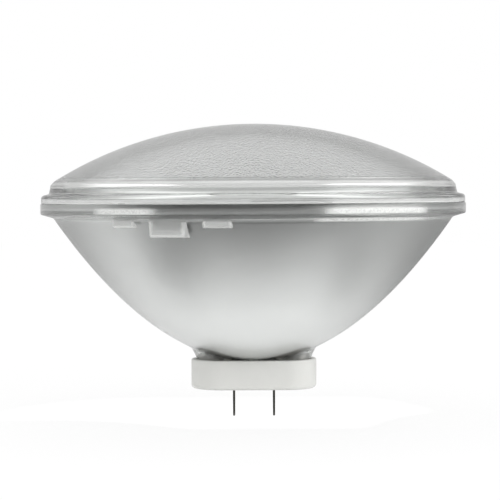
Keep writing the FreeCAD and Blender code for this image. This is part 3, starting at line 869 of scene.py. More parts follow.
    def sink_wells(self, grid: np.ndarray) -> np.ndarray:
        """The inner wall with a well over each terminal: it drops to the well's floor inside.

        Args:
            grid: the plain inner wall.

        Returns:
            The wall with the wells.
        """
        distance = self.boss_distance(grid)
        share = fade(distance, self.well_radius, self.well_radius + self.well_round)
        floor = np.minimum(self.well_floor, grid[..., 2])
        shaped = grid.copy()
        shaped[..., 2] = floor + (grid[..., 2] - floor) * share
        return shaped

    def under_level(self, radius: float) -> float:
        """Level of the rim's sloping underside at a radius."""
        slope = (self.rim_foot - self.neck_level) / (self.rim_radius - self.neck_radius)
        return self.rim_foot + slope * (radius - self.rim_radius)

    def outer_radius(self, level: float) -> float:
        """Radius of the outer parabola at a level."""
        return math.sqrt(4 * self.bowl_focal * (level - self.bowl_bottom))

    def neck_rows(self, foot: float | None) -> np.ndarray:
        """The profile between the bowl's upper part and the rim's underside.

        Args:
            foot: the foot of the lug that it runs over, or None for the plain neck.

        Returns:
            The profile's points, one a row.
        """
        start = self.outer_radius(self.key_start)
        end = (self.key_end, self.under_level(self.key_end))
        if foot is None:
            radii = np.linspace(start, self.neck_radius - 1.0, 9)
            wall = parabola(self.bowl_bottom, self.bowl_focal, radii)
            corners = [tuple(wall[-2]), (self.neck_radius, self.neck_level), end]
            rounds = [self.neck_round]
        else:
            root = self.outer_radius(foot)
            wall = parabola(self.bowl_bottom, self.bowl_focal, np.linspace(start, root, 6))
            head = self.under_level(self.neck_radius) - 0.2
            lug = [(root, foot), (self.key_face, foot), (self.key_face, head)]
            corners = [tuple(wall[-2]), *lug, end]
            rounds = [self.key_root_round, self.key_round, self.key_head_round]
        path = np.concatenate([wall[:-2], rounded_path(corners, rounds)])
        return even_points(path, self.neck_steps)

    def on_wall(self, grid: np.ndarray) -> np.ndarray:
        """1 where points lie on the outer parabola and 0 on a lug, by how far past it they are.

        Args:
            grid: points of the neck.

        Returns:
            The share for each point.
        """
        wall = np.sqrt(4 * self.bowl_focal * (grid[..., 2] - self.bowl_bottom))
        return 1 - fade(axis_distance(grid) - wall, *self.wall_skin)

    def neck_grid(self, angles: np.ndarray) -> np.ndarray:
        """The neck's rows round the bowl, with the lugs: plain + w (lug - plain), w a window.

        Args:
            angles: the grid's columns.

        Returns:
            Points as rows and columns.
        """
        plain = turned(self.neck_rows(None), angles)
        grid = plain.copy()
        for middle, half, foot in self.key_angles():
            inwards = (half - angle_between(angles, middle, FULL_TURN)) * self.key_face
            window = fade(inwards, -self.key_fade / 2, self.key_fade / 2)
            grid += window[None, :, None] * (turned(self.neck_rows(foot), angles) - plain)
        return grid

    def outer_rows(self) -> np.ndarray:
        """Profile of the outer wall: rows close together over the bosses and wider above.

        Returns:
            The profile's points, one a row.
        """
        split, (lower_steps, upper_steps) = self.outer_split, self.outer_steps
        lower = np.linspace(self.hole_radius, split, lower_steps)
        upper = np.linspace(split, self.outer_radius(self.key_start), upper_steps)
        return parabola(self.bowl_bottom, self.bowl_focal, np.concatenate([lower, upper[1:-1]]))

    def rim_rows(self) -> np.ndarray:
        """Profile of the rim from its underside over the upright edge and the seam to the mouth.

        Returns:
            The profile's points, one a row.
        """
        top = self.seam_level - self.seam_air
        corners = [
            (self.key_end, self.under_level(self.key_end)),
            (self.rim_radius, self.rim_foot),
            (self.rim_radius, top),
            (self.mouth_radius, top),
            (self.mouth_radius, self.mouth_level),
        ]
        path = rounded_path(corners, [self.rim_round, self.seam_round, 0.2])[1:-1]
        flat = np.argmax(np.diff(path[:, 1]))
        edge = np.linspace(path[flat], path[flat + 1], self.edge_steps)
        return np.concatenate([path[: flat + 1], edge[1:-1], path[flat + 1 :]])

    def mirror_rows(self) -> np.ndarray:
        """Profile of the mirror's parabola from the mouth down to the exhaust hole.

        Returns:
            The profile's points, one a row.
        """
        split, (upper_steps, lower_steps) = self.mirror_split, self.mirror_steps
        upper = np.linspace(self.mouth_radius, split, upper_steps)
        lower = np.linspace(split, self.hole_radius, lower_steps)
        radii = np.concatenate([upper, lower[1:]])
        return parabola(self.bowl_bottom + self.vertex_wall, self.mirror_focal, radii)

    def neck_frost(self, neck: np.ndarray, angles: np.ndarray) -> np.ndarray:
        """Haze of the neck: on the lugs, with a painted highlight on the bend under the rim,
        stronger in front.

        Args:
            neck: the neck's points.
            angles: the grid's columns.

        Returns:
            The haze of each point.
        """
        level, radius, azimuth = neck[..., 2], axis_distance(neck), front_azimuth(neck)
        lugs = (1 - self.on_wall(neck)) * self.lug_frost(neck, angles)
        lugs *= fade(self.neck_level - level, *self.lug_top)
        bend = fade(self.neck_radius - radius, *self.bend_in)
        bend *= fade(radius, self.key_end, self.key_end - self.bend_out)
        # Painted highlight: the bend is whiter over a span of azimuths in front, where the light
        # catches it.
        (first, last), (early, late) = self.bend_highlight_span, self.bend_highlight_fade
        lit = fade(azimuth, first - early, first + early)
        lit *= fade(azimuth, last + late, last - late)
        return np.maximum(lugs, (self.bend_highlight + (1 - self.bend_highlight) * lit) * bend)

    def lug_frost(self, neck: np.ndarray, angles: np.ndarray) -> np.ndarray:
        """Haze of the lugs, with a painted highlight along sides and foot; weak in an arch at the
        face's top.

        Args:
            neck: the neck's points.
            angles: the grid's columns.

        Returns:
            The haze of each point.
        """
        haze = np.zeros(neck.shape[:2])
        for middle, half, foot in self.key_angles():
            away = angle_between(angles, middle, FULL_TURN) / half
            height = (neck[..., 2] - foot) / (self.neck_level - foot)
            edge = np.maximum(fade(away, *self.lug_side), fade(height, *self.lug_foot))
            arch = fade(away, *self.arch_side) * fade(height, *self.arch_foot)
            strength = self.lug_haze + self.lug_edge_highlight * edge
            strength = strength * (1 - self.arch_clearing * arch)
            haze = np.maximum(haze, fade(away, *self.lug_reach) * strength)
        return haze

    def belt_frost(self, rim: np.ndarray) -> np.ndarray:
        """Haze of the rim's upright edge: a band between two levels, with painted highlights in
        patches.

        Args:
            rim: the rim's points.

        Returns:
            The haze and painted highlight of each point.
        """
        low, high = self.belt
        level = rim[..., 2]
        band = fade(level, low, low + self.belt_fade) * fade(level, high, high - self.belt_fade)
        outside = axis_distance(rim) > self.rim_radius - self.rim_skin
        haze = np.full(rim.shape[:2], self.belt_haze)
        # Painted highlight: whiter patches over these azimuths.
        for start, end in self.highlight_patches:
            half = (end - start) / 2
            away = angle_between(front_azimuth(rim), start + half, 360.0)
            patch = fade(away, half + self.highlight_patch_fade, half - self.highlight_patch_fade)
            haze = np.maximum(haze, self.highlight_patch_haze * patch)
        return band * outside * haze

    def build_glass(self) -> None:
        """The glass bowl as one skin; its outer wall is satin where the film lies behind it."""
        angles = self.columns()
        outer = self.lower_bosses(turned(self.outer_rows(), angles))
        neck = self.neck_grid(angles)
        rim = turned(self.rim_rows(), angles)
        inner = self.sink_wells(turned(self.mirror_rows(), angles))
        plain = np.zeros(inner.shape[:2])
        boss = self.boss_distance(outer)
        satin = fade(boss, *self.satin_boss) * fade(outer[..., 2], *self.satin_foot)
        satin_neck = self.on_wall(neck) * fade(self.neck_level - neck[..., 2], *self.satin_top)
        # Painted highlight on the bosses' flanks.
        boss_highlight = self.boss_highlight_haze * fade(boss, *self.boss_highlight_span)
        worked = [satin, satin_neck, np.zeros(rim.shape[:2]), plain]
        frost = [boss_highlight, self.neck_frost(neck, angles), self.belt_frost(rim), plain]
        values = {"worked": np.concatenate(worked), "frost": np.concatenate(frost)}
        skin = ring_skin(np.concatenate([outer, neck, rim, inner]), values)
        self.add_piece("bowl_glass", skin, [BOWL_GLASS], ("reflector",), "reflector_glass")

    def build_film(self) -> None:
        """The mirror film: a thin skin astride the bowl's inner wall, its back in the glass."""
        rows = self.mirror_rows()[:-1]
        slope = rows[:, :1] / (2 * self.mirror_focal)
        across = unit_rows(np.concatenate([-slope, np.ones_like(slope)], axis=1))
        land = [(self.mouth_radius, self.film_top), (self.mouth_radius, self.mouth_level + 1.0)]
        rows = np.concatenate([np.array(land), rows])
        across = np.concatenate([np.array([(-1.0, 0.0), (-1.0, 0.0)]), across]) * self.film_wall
        face = self.sink_wells(turned(rows + across, degree_turn()))
        back = self.sink_wells(turned(rows - across, degree_turn()))
        grid = np.concatenate([face, back[::-1]])
        film = self.add_piece(
            "mirror_film", ring_skin(grid), [SILVER_FACE, SILVER_BACK], (), "reflector_glass"
        )
        columns = grid.shape[1]
        finish = np.ones(len(grid) * columns, np.int32)
        finish[: (len(face) - 1) * columns] = 0
        film.data.polygons.foreach_set("material_index", finish)

    def build(self) -> None:
        """Make the bowl's pieces."""
        self.build_glass()
        self.build_film()


@dataclass
class Lens(SubAssembly):
    """Pressed glass cover: a dome, a shoulder and a rim, stippled on the inside of the dome."""

    apex: float = 110.93
    outside: float = 157.0
    wall: float = 2.4
    seam_level: float = 77.8
    seam_air: float = 0.03
    rim_radius: float = 88.6
    rim_top: float = 81.1
    rim_skin: float = 0.6
    shoulder_foot: Span = (85.3, 81.9)
    shoulder_top: float = 84.6
    shoulder_drop: float = 1.7
    dome_edge: float = 83.0
    vault_edge: float = 79.8
    bore: float = 82.0
    bore_bevel: float = 2.2
    dome_round: float = 1.2
    shoulder_round: float = 1.6
    ledge_round: float = 0.9
    rim_round: float = 1.7
    seam_round: float = 0.35
    bore_round: float = 0.2
    # Looks: the levels, radii and azimuths over which painted reflections and painted shade (darker
    # glass) come in, and how strong they are.
    stipple_depth: Span = (1.92, 2.22)
    # Painted reflection: a whitish band on the shoulder.
    stipple_edge: Span = (80.2, 79.0)
    shoulder_reflection_haze: float = 0.3
    reflection_top: Span = (86.7, 86.3)
    reflection_foot: Span = (84.0, 84.3)
    # Painted shade: a darker ring at the dome's edge and a dark line under the shoulder.
    ring: float = 0.58
    ring_edge: Span = (81.5, 82.1)
    ring_foot: Span = (86.3, 86.7)
    ring_depth: Span = (0.5, 0.3)
    ring_lighter_share: float = 0.7
    lighter_start: Span = (-72.0, -66.0)
    lighter_end: Span = (-34.0, -42.0)
    line: float = 0.5
    line_top: Span = (83.95, 83.7)
    line_foot: Span = (82.7, 82.9)
    line_start: Span = (-42.0, -34.0)
    line_end: Span = (44.0, 36.0)
    # Painted reflection of the floor on the rim's lower edge, stronger over the stretches listed.
    seam_edge: Span = (0.55, 0.35)
    seam_reflection_base: float = 0.18
    stretch_reflection_haze: float = 0.77
    stretch_reflection_fade: float = 12.0
    # Stretches of stronger painted reflection, in degrees from the front.
    sealed: tuple[Span, ...] = ((14.0, 75.0), (-80.0, -30.0), (110.0, 200.0))

    def dome_level(self, radius: float, depth: float = 0.0) -> float:
        """Level of the dome at a radius, depth millimetres inside its outer face."""
        middle = self.apex - self.outside
        return middle + math.sqrt((self.outside - depth) ** 2 - radius**2)

    def cap_arc(self, edge: float, depth: float, count: int) -> np.ndarray:
        """The dome's arc from the axis out to an edge: (R sin a, middle + R cos a).

        Args:
            edge: the radius where the arc ends.
            depth: how far inside the outer face it lies.
            count: its points.

        Returns:
            The arc's points, one a row.
        """
        radius = self.outside - depth
        angles = np.linspace(0, math.asin(edge / radius), count)
        middle = self.apex - self.outside
        return np.stack([radius * np.sin(angles), middle + radius * np.cos(angles)], axis=-1)

    def shoulder_corners(self) -> list[Span]:
        """The shoulder from the dome's edge to its foot, with points where the painted reflection
        begins and ends.

        Returns:
            Its three corners and the points between them, each a radius and a level.
        """
        level = self.dome_level(self.dome_edge)
        top = (self.shoulder_top, level - self.shoulder_drop)
        sides = [((self.dome_edge, level), top, (0.0, 0.3, 0.54))]
        sides.append((top, self.shoulder_foot, (0.0, 0.33, 0.42, 0.5, 0.72, 1.0)))
        return [
            (start[0] + (end[0] - start[0]) * share, start[1] + (end[1] - start[1]) * share)
            for start, end, shares in sides
            for share in shares
        ]

    def profile(self) -> np.ndarray:
        """Closed half section from the dome's top, down outside, under the rim and up inside.

        Returns:
            The section's points, one a row.
        """
        outer = self.cap_arc(self.dome_edge, 0.0, 60)
        inner = self.cap_arc(self.vault_edge, self.wall, 90)[::-1]
        vault_level = self.dome_level(self.vault_edge, self.wall)
        foot = self.seam_level + self.seam_air
        corners = [
            tuple(outer[-2]),
            *self.shoulder_corners(),
            (self.rim_radius, self.rim_top),
            (self.rim_radius, foot),
            (self.bore, foot),
            (self.bore, vault_level - self.bore_bevel),
            (self.vault_edge, vault_level),
            tuple(inner[1]),
        ]
        slope, side = (self.dome_round, 0, 0), (self.shoulder_round, 0, 0, 0, 0)
        rim = (self.ledge_round, self.rim_round, self.seam_round, self.bore_round)
        rounds = [*slope, *side, *rim, self.dome_round, self.dome_round]
        edge = rounded_path(corners, rounds)
        return np.concatenate([outer[:-2], edge, inner[2:]])

    def seam_frost(self, grid: np.ndarray) -> np.ndarray:
        """A whitish line on the rim's lower edge, a painted reflection of the floor, stronger over
        stretches of the rim.

        Args:
            grid: the lens's points.

        Returns:
            The painted reflection of each point.
        """
        outside = axis_distance(grid) > self.rim_radius - self.rim_skin
        low = fade(grid[..., 2] - self.seam_level, *self.seam_edge)
        azimuth, width = front_azimuth(grid), self.stretch_reflection_fade
        strong = np.zeros(azimuth.shape)
        for start, end in self.sealed:
            stretch = fade(azimuth, start, start + width) * fade(azimuth, end, end - width)
            strong = np.maximum(strong, stretch)
        return outside * low * (self.seam_reflection_base + self.stretch_reflection_haze * strong)

    def shoulder_frost(self, grid: np.ndarray) -> np.ndarray:
        """A thin whitish band on the outside of the shoulder: a painted reflection of the light
        overhead.

        Args:
            grid: the lens's points.

        Returns:
            The painted reflection of each point.
        """
        band = fade(grid[..., 2], *self.reflection_top) * fade(grid[..., 2], *self.reflection_foot)
        return self.shoulder_reflection_haze * band * (axis_distance(grid) > self.dome_edge + 0.05)

    def painted_dark_glass(self, grid: np.ndarray, depth: np.ndarray) -> np.ndarray:
        """Painted shade: a darker ring at the dome's edge, lighter over a stretch at the left
        front, and a dark line under the shoulder at the front.

        Args:
            grid: the lens's points.
            depth: how far each lies inside the dome's outer face.

        Returns:
            How much darker each point is.
        """
        radius, level, azimuth = axis_distance(grid), grid[..., 2], front_azimuth(grid)
        ring = fade(radius, *self.ring_edge) * fade(level, *self.ring_foot)
        ring = ring * fade(depth, *self.ring_depth)
        thin = fade(azimuth, *self.lighter_start) * fade(azimuth, *self.lighter_end)
        line = fade(level, *self.line_top) * fade(level, *self.line_foot)
        line = line * fade(azimuth, *self.line_start) * fade(azimuth, *self.line_end)
        dark_ring = self.ring * ring * (1 - self.ring_lighter_share * thin)
        return dark_ring + self.line * line * (radius > self.shoulder_top)

    def build(self) -> None:
        """Make the lens as one skin."""
        grid = turned(self.profile(), degree_turn())
        radius = axis_distance(grid)
        depth = self.outside - np.hypot(radius, grid[..., 2] - (self.apex - self.outside))
        values = {
            "worked": fade(depth, *self.stipple_depth) * fade(radius, *self.stipple_edge),
            "frost": np.maximum(self.shoulder_frost(grid), self.seam_frost(grid)),
            # Painted shade: the darker ring and line.
            "thick": self.painted_dark_glass(grid, depth),
        }
        skin = capped_skin(grid, values)
        self.add_piece("lens_glass", skin, [LENS_GLASS], ("lens",), "lens_glass")


@dataclass
class ExhaustTube(SubAssembly):
    """Glass tube under the bowl, melted shut at its tip."""

    hole_radius: float = 2.0
    wall: float = 1.4
    tip_level: float = 5.4
    tip_flat: float = 1.0
    tip_length: float = 2.2
    top_level: float = 11.3
    column_step: float = 7.5

    def build(self) -> None:
        """Make the tube as one skin."""
        outside = self.hole_radius + self.wall
        shoulder = self.tip_level + self.tip_length
        corners = [
            (0.0, self.tip_level),
            (self.tip_flat, self.tip_level),
            (outside, shoulder),
            (outside, self.top_level),
            (self.hole_radius, self.top_level),
            (self.hole_radius, shoulder),
            (0.0, shoulder),
        ]
        profile = rounded_path(corners, [0.5, 1.2, 0.3, 0.3, 0.8])
        skin = capped_skin(turned(profile, np.radians(np.arange(0, 360, self.column_step))))
        self.add_piece("exhaust_glass", skin, [TUBE_GLASS], ("exhaust_tube",), "reflector_glass")


@dataclass
class Terminals(SubAssembly):
    """Cups, brazes, lead posts, solder and cement on both sides."""

    boss_offset: float = 18.0
    post_foot: float = 5.9
    post_radius: float = 1.0
    post_elbow: float = 5.0
    post_tip: float = 10.2
    bend: float = 4.0
    leg_level: float = 41.46

    def build_post(self, side: Side) -> None:
        """A lead post of round wire: up from its cup, inwards in two easy bends, to the leg.

        Args:
            side: the end of the base that it stands at.
        """
        corners = [
            (self.boss_offset, 0.0, self.post_foot),
            (self.boss_offset, 0.0, self.leg_level - self.post_elbow),
            (self.boss_offset - self.post_elbow, 0.0, self.leg_level),
            (self.post_tip, 0.0, self.leg_level),
        ]
        path = rounded_path(corners, [self.bend, self.bend], steps=8)
        path = path * np.array([side.value, 1.0, 1.0])
        across = np.broadcast_to(np.array([0.0, 1.0, 0.0]), path.shape)
        skin = capped_skin(tube(path, across, self.post_radius, 20))
        name = side.name.lower()
        self.add_piece(f"post_{name}", skin, [POST_METAL], (f"lead_post_{name}",), "post_metal")

    def build(self) -> None:
        """Make both posts and dress the terminals' other solids."""
        finishes = {
            "ferrule": CUP_METAL,
            "braze": BRAZE_METAL,
            "solder": SOLDER_METAL,
            "cement": CEMENT,
        }
        for side in Side:
            self.build_post(side)
            for node, finish in finishes.items():
                self.dress_node(f"{node}_{side.name.lower()}", finish)


@dataclass
class Burner(SubAssembly):
    """The coiled filament, the hook that steadies it and the bridge that carries the hook."""

    focus_level: float = 42.71
    coil_length: float = 14.4
    coil_radius: float = 1.8
    strand_radius: float = 0.4
    leg_orbit: float = 1.25
    leg_gap: float = 0.25
    turns: int = 11
    turn_steps: int = 36
    leg_end: float = 10.2
    hook_radius: float = 0.25
    hook_play: float = 0.15
    hook_lead: float = 0.16
    hook_end: float = 1.42
    stem_length: float = 14.0
    stem_gap: float = 0.6

    def lifted(self, path: np.ndarray) -> np.ndarray:
        """A path about the focus, lifted to its level."""
        return path + np.array([0.0, 0.0, self.focus_level])

    def build_filament(self) -> None:
        """The coil and its legs: x = l (p - 1/2), y = -R sin(2 pi n p), z = -R cos(2 pi n p)."""
        share = np.linspace(0, 1, self.turns * self.turn_steps + 1)
        phase = FULL_TURN * self.turns * share
        orbit = self.coil_radius - self.strand_radius
        ease = fade(np.minimum(share, 1 - share), 0.0, 0.5 / self.turns)
        radius = self.leg_orbit + (orbit - self.leg_orbit) * ease
        along = self.coil_length * (share - 0.5)
        coil = np.stack([along, -radius * np.sin(phase), -radius * np.cos(phase)], axis=-1)
        leg = np.linspace(-self.leg_end, -self.coil_length / 2 - self.leg_gap, 5)
        start = np.stack([leg, 0 * leg, 0 * leg - self.leg_orbit], axis=-1)
        path = np.concatenate([start, coil, (start * np.array([-1.0, 1.0, 1.0]))[::-1]])
        across = path * np.array([0.0, 1.0, 1.0])
        skin = capped_skin(tube(self.lifted(path), across, self.strand_radius, 10))
        self.add_piece(
            "coiled_filament", skin, [FILAMENT_METAL], ("filament",), "filament_metal"
        )

    def build_hook(self) -> None:
        """A stem that rises from the bridge and closes in one loop round the coil's middle."""
        orbit = self.coil_radius + self.hook_play + self.hook_radius
        angles = np.linspace(-math.pi / 2, self.hook_end * math.pi, 49)
        lead = self.hook_lead * (angles - angles[0]) / math.pi
        loop = np.stack([lead, orbit * np.cos(angles), orbit * np.sin(angles)], axis=-1)
        rise = np.linspace(-self.stem_length, -orbit - self.stem_gap, 8)
        stem = np.stack([0 * rise, 0 * rise, rise], axis=-1)
        path = np.concatenate([stem, loop[1:]])
        across = np.broadcast_to(np.array([1.0, 0.0, 0.0]), path.shape)
        skin = capped_skin(tube(self.lifted(path), across, self.hook_radius, 12))
        self.add_piece("steady_hook", skin, [POST_METAL], ("filament_hook",), "post_metal")

    def build(self) -> None:
        """Make the filament and its hook, and dress the bridge."""
        self.build_filament()
        self.build_hook()
        self.dress_node("support_bridge", BRIDGE_CERAMIC)


@dataclass
class Base(SubAssembly):
    """Pressed ceramic base: an obround tray with a slot for each blade, and the two blades."""

    height: float = 12.4
    width: float = 26.0
    arc_middle: float = 13.35
    arc_steps: int = 40
    straight: tuple[float, ...] = (0.0, 2.2, 4.5, 6.8, 8.4, 10.0, 11.7)
    wall: float = 2.0
    floor: float = 3.6
    foot_round: float = 1.5
    lip_round: float = 0.7
    cavity_round: float = 1.0
    plate_shares: tuple[float, ...] = (0.0, 0.06, 0.35, 0.7, 0.97, 1.0)
    blade_offset: float = 8.4
    blade_thickness: float = 0.9
    blade_width: float = 9.5
    blade_tip: float = -11.6
    blade_corner: float = 1.5
    blade_edge: float = 0.12
    blade_bend: float = 0.9
    slot_air: float = 0.15
    foot_end: float = 21.5
    weld: float = 1e-3

    def outline(self, radius: float) -> np.ndarray:
        """Right half of the obround from (0, -radius) to (0, radius): line, half circle, line.

        Args:
            radius: half of the obround's width.

        Returns:
            The outline's points, one a row.
        """
        straight = np.array(self.straight)
        angles = np.linspace(-math.pi / 2, math.pi / 2, self.arc_steps)
        arc = polar(angles, radius, (self.arc_middle, 0.0))
        lower = np.stack([straight, 0 * straight - radius], axis=-1)
        upper = np.stack([straight[::-1], 0 * straight + radius], axis=-1)
        return np.concatenate([lower, arc, upper])

    def closed_outline(self, radius: float) -> np.ndarray:
        """The half obround closed along x = 0, back from (0, radius) towards (0, -radius)."""
        back = np.linspace(radius, -radius, 9)[1:-1]
        return np.concatenate([self.outline(radius), np.stack([0 * back, back], axis=-1)])

    def slot_points(self, border: np.ndarray) -> np.ndarray:
        """The slot's edge on the ray from its middle to each border point: min(a/|cos|, b/|sin|).

        Args:
            border: the outline's points.

        Returns:
            A point of the slot's edge for each of them.
        """
        half = np.array([self.blade_thickness, self.blade_width]) / 2 + self.slot_air
        middle = np.array([self.blade_offset, 0.0])
        ray = unit_rows(border - middle)
        reach = (half / np.maximum(np.abs(ray), 1e-9)).min(axis=1)
        return middle + ray * reach[:, None]

    def plate(self, radius: float, level: float) -> np.ndarray:
        """A flat half face, as rows from the slot's edge out to the half outline.

        Args:
            radius: half of the outline's width.
            level: the face's level.

        Returns:
            Points as rows and columns.
        """
        border = self.closed_outline(radius)
        slot = self.slot_points(self.closed_outline(self.width / 2 - self.foot_round))
        share = np.array(self.plate_shares)[:, None, None]
        flat = slot + (border - slot) * share
        return np.concatenate([flat, np.full((*flat.shape[:2], 1), level)], axis=-1)

    def side_wall(self) -> np.ndarray:
        """The right half's wall: a section carried along the outline, up outside and down inside.

        Returns:
            Points as rows and columns.
        """
        outside, cavity = self.width / 2, self.width / 2 - self.wall
        corners = [
            (outside - self.foot_round - 0.01, 0.0),
            (outside, 0.0),
            (outside, self.height),
            (cavity, self.height),
            (cavity, self.floor),
            (cavity - self.cavity_round - 0.01, self.floor),
        ]
        rounds = [self.foot_round, self.lip_round, 0.5, self.cavity_round]
        rows = []
        for radius, level in rounded_path(corners, rounds)[1:-1]:
            flat = self.outline(radius)
            rows.append(np.concatenate([flat, np.full((len(flat), 1), level)], axis=1))
        return np.stack(rows)

    def half_tray(self) -> tuple[np.ndarray, np.ndarray]:
        """The right half: lower face, wall, cavity floor and the slot's walls.

        Returns:
            Its points, and its faces as corner numbers.
        """
        lower = self.plate(self.width / 2 - self.foot_round, 0.0)
        upper = self.plate(self.width / 2 - self.wall - self.cavity_round, self.floor)
        slot = np.stack([lower[0], upper[0]])
        grids = [
            (lower, True, False),
            (self.side_wall(), False, False),
            (upper, True, True),
            (slot, True, True),
        ]
        points, faces, start = [], [], 0
        for grid, wrap, flip in grids:
            made = quads(*grid.shape[:2], wrap_columns=wrap) + start
            faces.append(made[:, ::-1] if flip else made)
            points.append(grid.reshape(-1, 3))
            start += len(points[-1])
        return np.concatenate(points), np.concatenate(faces)

    def build_tray(self) -> None:
        """The tray: the right half and the same half turned by 180 degrees, welded along x = 0."""
        points, faces = self.half_tray()
        every = np.concatenate([points, points * np.array([-1.0, -1.0, 1.0])])
        both = np.concatenate([faces, faces + len(points)])
        place = np.round(every / self.weld).astype(np.int64)
        _, first, number = np.unique(place, axis=0, return_index=True, return_inverse=True)
        skin = Skin(every[first], number.reshape(-1)[both].tolist()).facing_out()
        self.add_piece("base_tray", skin, [BASE_CERAMIC], ("ceramic_base",), "ceramic")

    def blade_section(self, half_width: np.ndarray, inset: np.ndarray) -> np.ndarray:
        """Rounded rectangles, one a station: thickness and width shrink by the inset.

        Args:
            half_width: half of the blade's width at each station.
            inset: how far the section shrinks there.

        Returns:
            Thickness and width coordinates, as stations and points round the section.
        """
        edge, half_thick = self.blade_edge, self.blade_thickness / 2
        quarter = np.linspace(0, math.pi / 2, 4)
        signs = ((1, 1), (-1, 1), (-1, -1), (1, -1))
        angles = np.concatenate([quarter + k * math.pi / 2 for k in range(len(signs))])
        sign = np.repeat(np.array(signs, float), len(quarter), axis=0)
        thick = sign[:, 0] * (half_thick - edge) + edge * np.cos(angles)
        shrink = 1 - inset / half_thick
        reach = (half_width - edge - inset)[:, None]
        width = sign[None, :, 1] * reach + edge * np.sin(angles)[None, :]
        return np.stack([thick[None, :] * shrink[:, None], width], axis=-1)

    def build_blade(self, side: Side) -> None:
        """A blade and its foot: the section carried up through the slot and out under the cup.

        Args:
            side: the end of the base that it stands at.
        """
        low, level = self.blade_tip, self.floor + self.blade_thickness / 2
        corners = [(self.blade_offset, low), (self.blade_offset, level), (self.foot_end, level)]
        bend = rounded_path(corners, [self.blade_bend], steps=6)
        tip = np.array([0.0, 0.05, 0.15, self.blade_corner, self.blade_corner + 0.1])
        path = np.concatenate([np.stack([0 * tip + self.blade_offset, low + tip], -1), bend[1:]])
        tangent = unit_rows(np.gradient(path, axis=0))
        along = lengths_along(path)
        half_width = self.blade_width / 2 - np.maximum(0.0, self.blade_corner - along)
        inset = self.blade_edge * (1 - fade(along, 0.0, 0.15))
        section = self.blade_section(half_width, inset)
        thick, width = section[..., 0], section[..., 1]
        across = path[:, :1] - tangent[:, 1:] * thick
        up = path[:, 1:] + tangent[:, :1] * thick
        turn = np.array([side.value, side.value, 1.0])
        skin = capped_skin(end_capped(np.stack([across, width, up], axis=-1) * turn))
        name = side.name.lower()
        self.add_piece(f"blade_{name}", skin, [BLADE_PAINTED_DARK], (f"prong_{name}",), "blade_metal")

    def build(self) -> None:
        """Make the tray and both blades."""
        self.build_tray()
        for side in Side:
            self.build_blade(side)


# Stage


@dataclass(frozen=True)
class Panel:
    """An upright panel of the studio: where it stands, how wide, how bright and how high it is.

    Azimuths are degrees from the camera's side towards +X, and its edge fades from the inner to
    the outer number of degrees from its middle.
    """

    azimuth: float
    inner: float
    outer: float
    strength: float
    height: Span

    def weight(self, graph: Graph, place: Socket, height: Socket) -> Socket:
        """The panel's brightness.

        Args:
            graph: the world's nodes.
            place: the direction that is looked in, laid level.
            height: how far up it points.

        Returns:
            The brightness in that direction.
        """
        turn = math.radians(self.azimuth)
        inner, outer = math.cos(math.radians(self.inner)), math.cos(math.radians(self.outer))
        middle = graph.dot(place, (math.sin(turn), -math.cos(turn), 0.0))
        panel = graph.product(graph.ramp(middle, outer, inner, 0.0, 1.0), self.strength)
        return graph.product(panel, graph.ramp(height, *self.height, 1.0, 0.0))


@dataclass(frozen=True)
class SoftLight:
    """A square soft light: its place and size in metres and its power in watts."""

    name: str
    spot: Triple
    size: float
    power: float

    def build(self) -> None:
        """Aim it at the lamp's middle; mirrored surfaces see the studio and not this light."""
        light = bpy.data.lights.new(self.name, "AREA")
        light.energy = self.power
        light.size = self.size
        holder = bpy.data.objects.new(self.name, light)
        holder.location = self.spot
        toward = Vector((0.0, 0.0, 0.04)) - Vector(self.spot)
        holder.rotation_euler = toward.to_track_quat("-Z", "Y").to_euler()
        holder.visible_glossy = False
        holder.visible_transmission = False
        bpy.context.scene.collection.objects.link(holder)


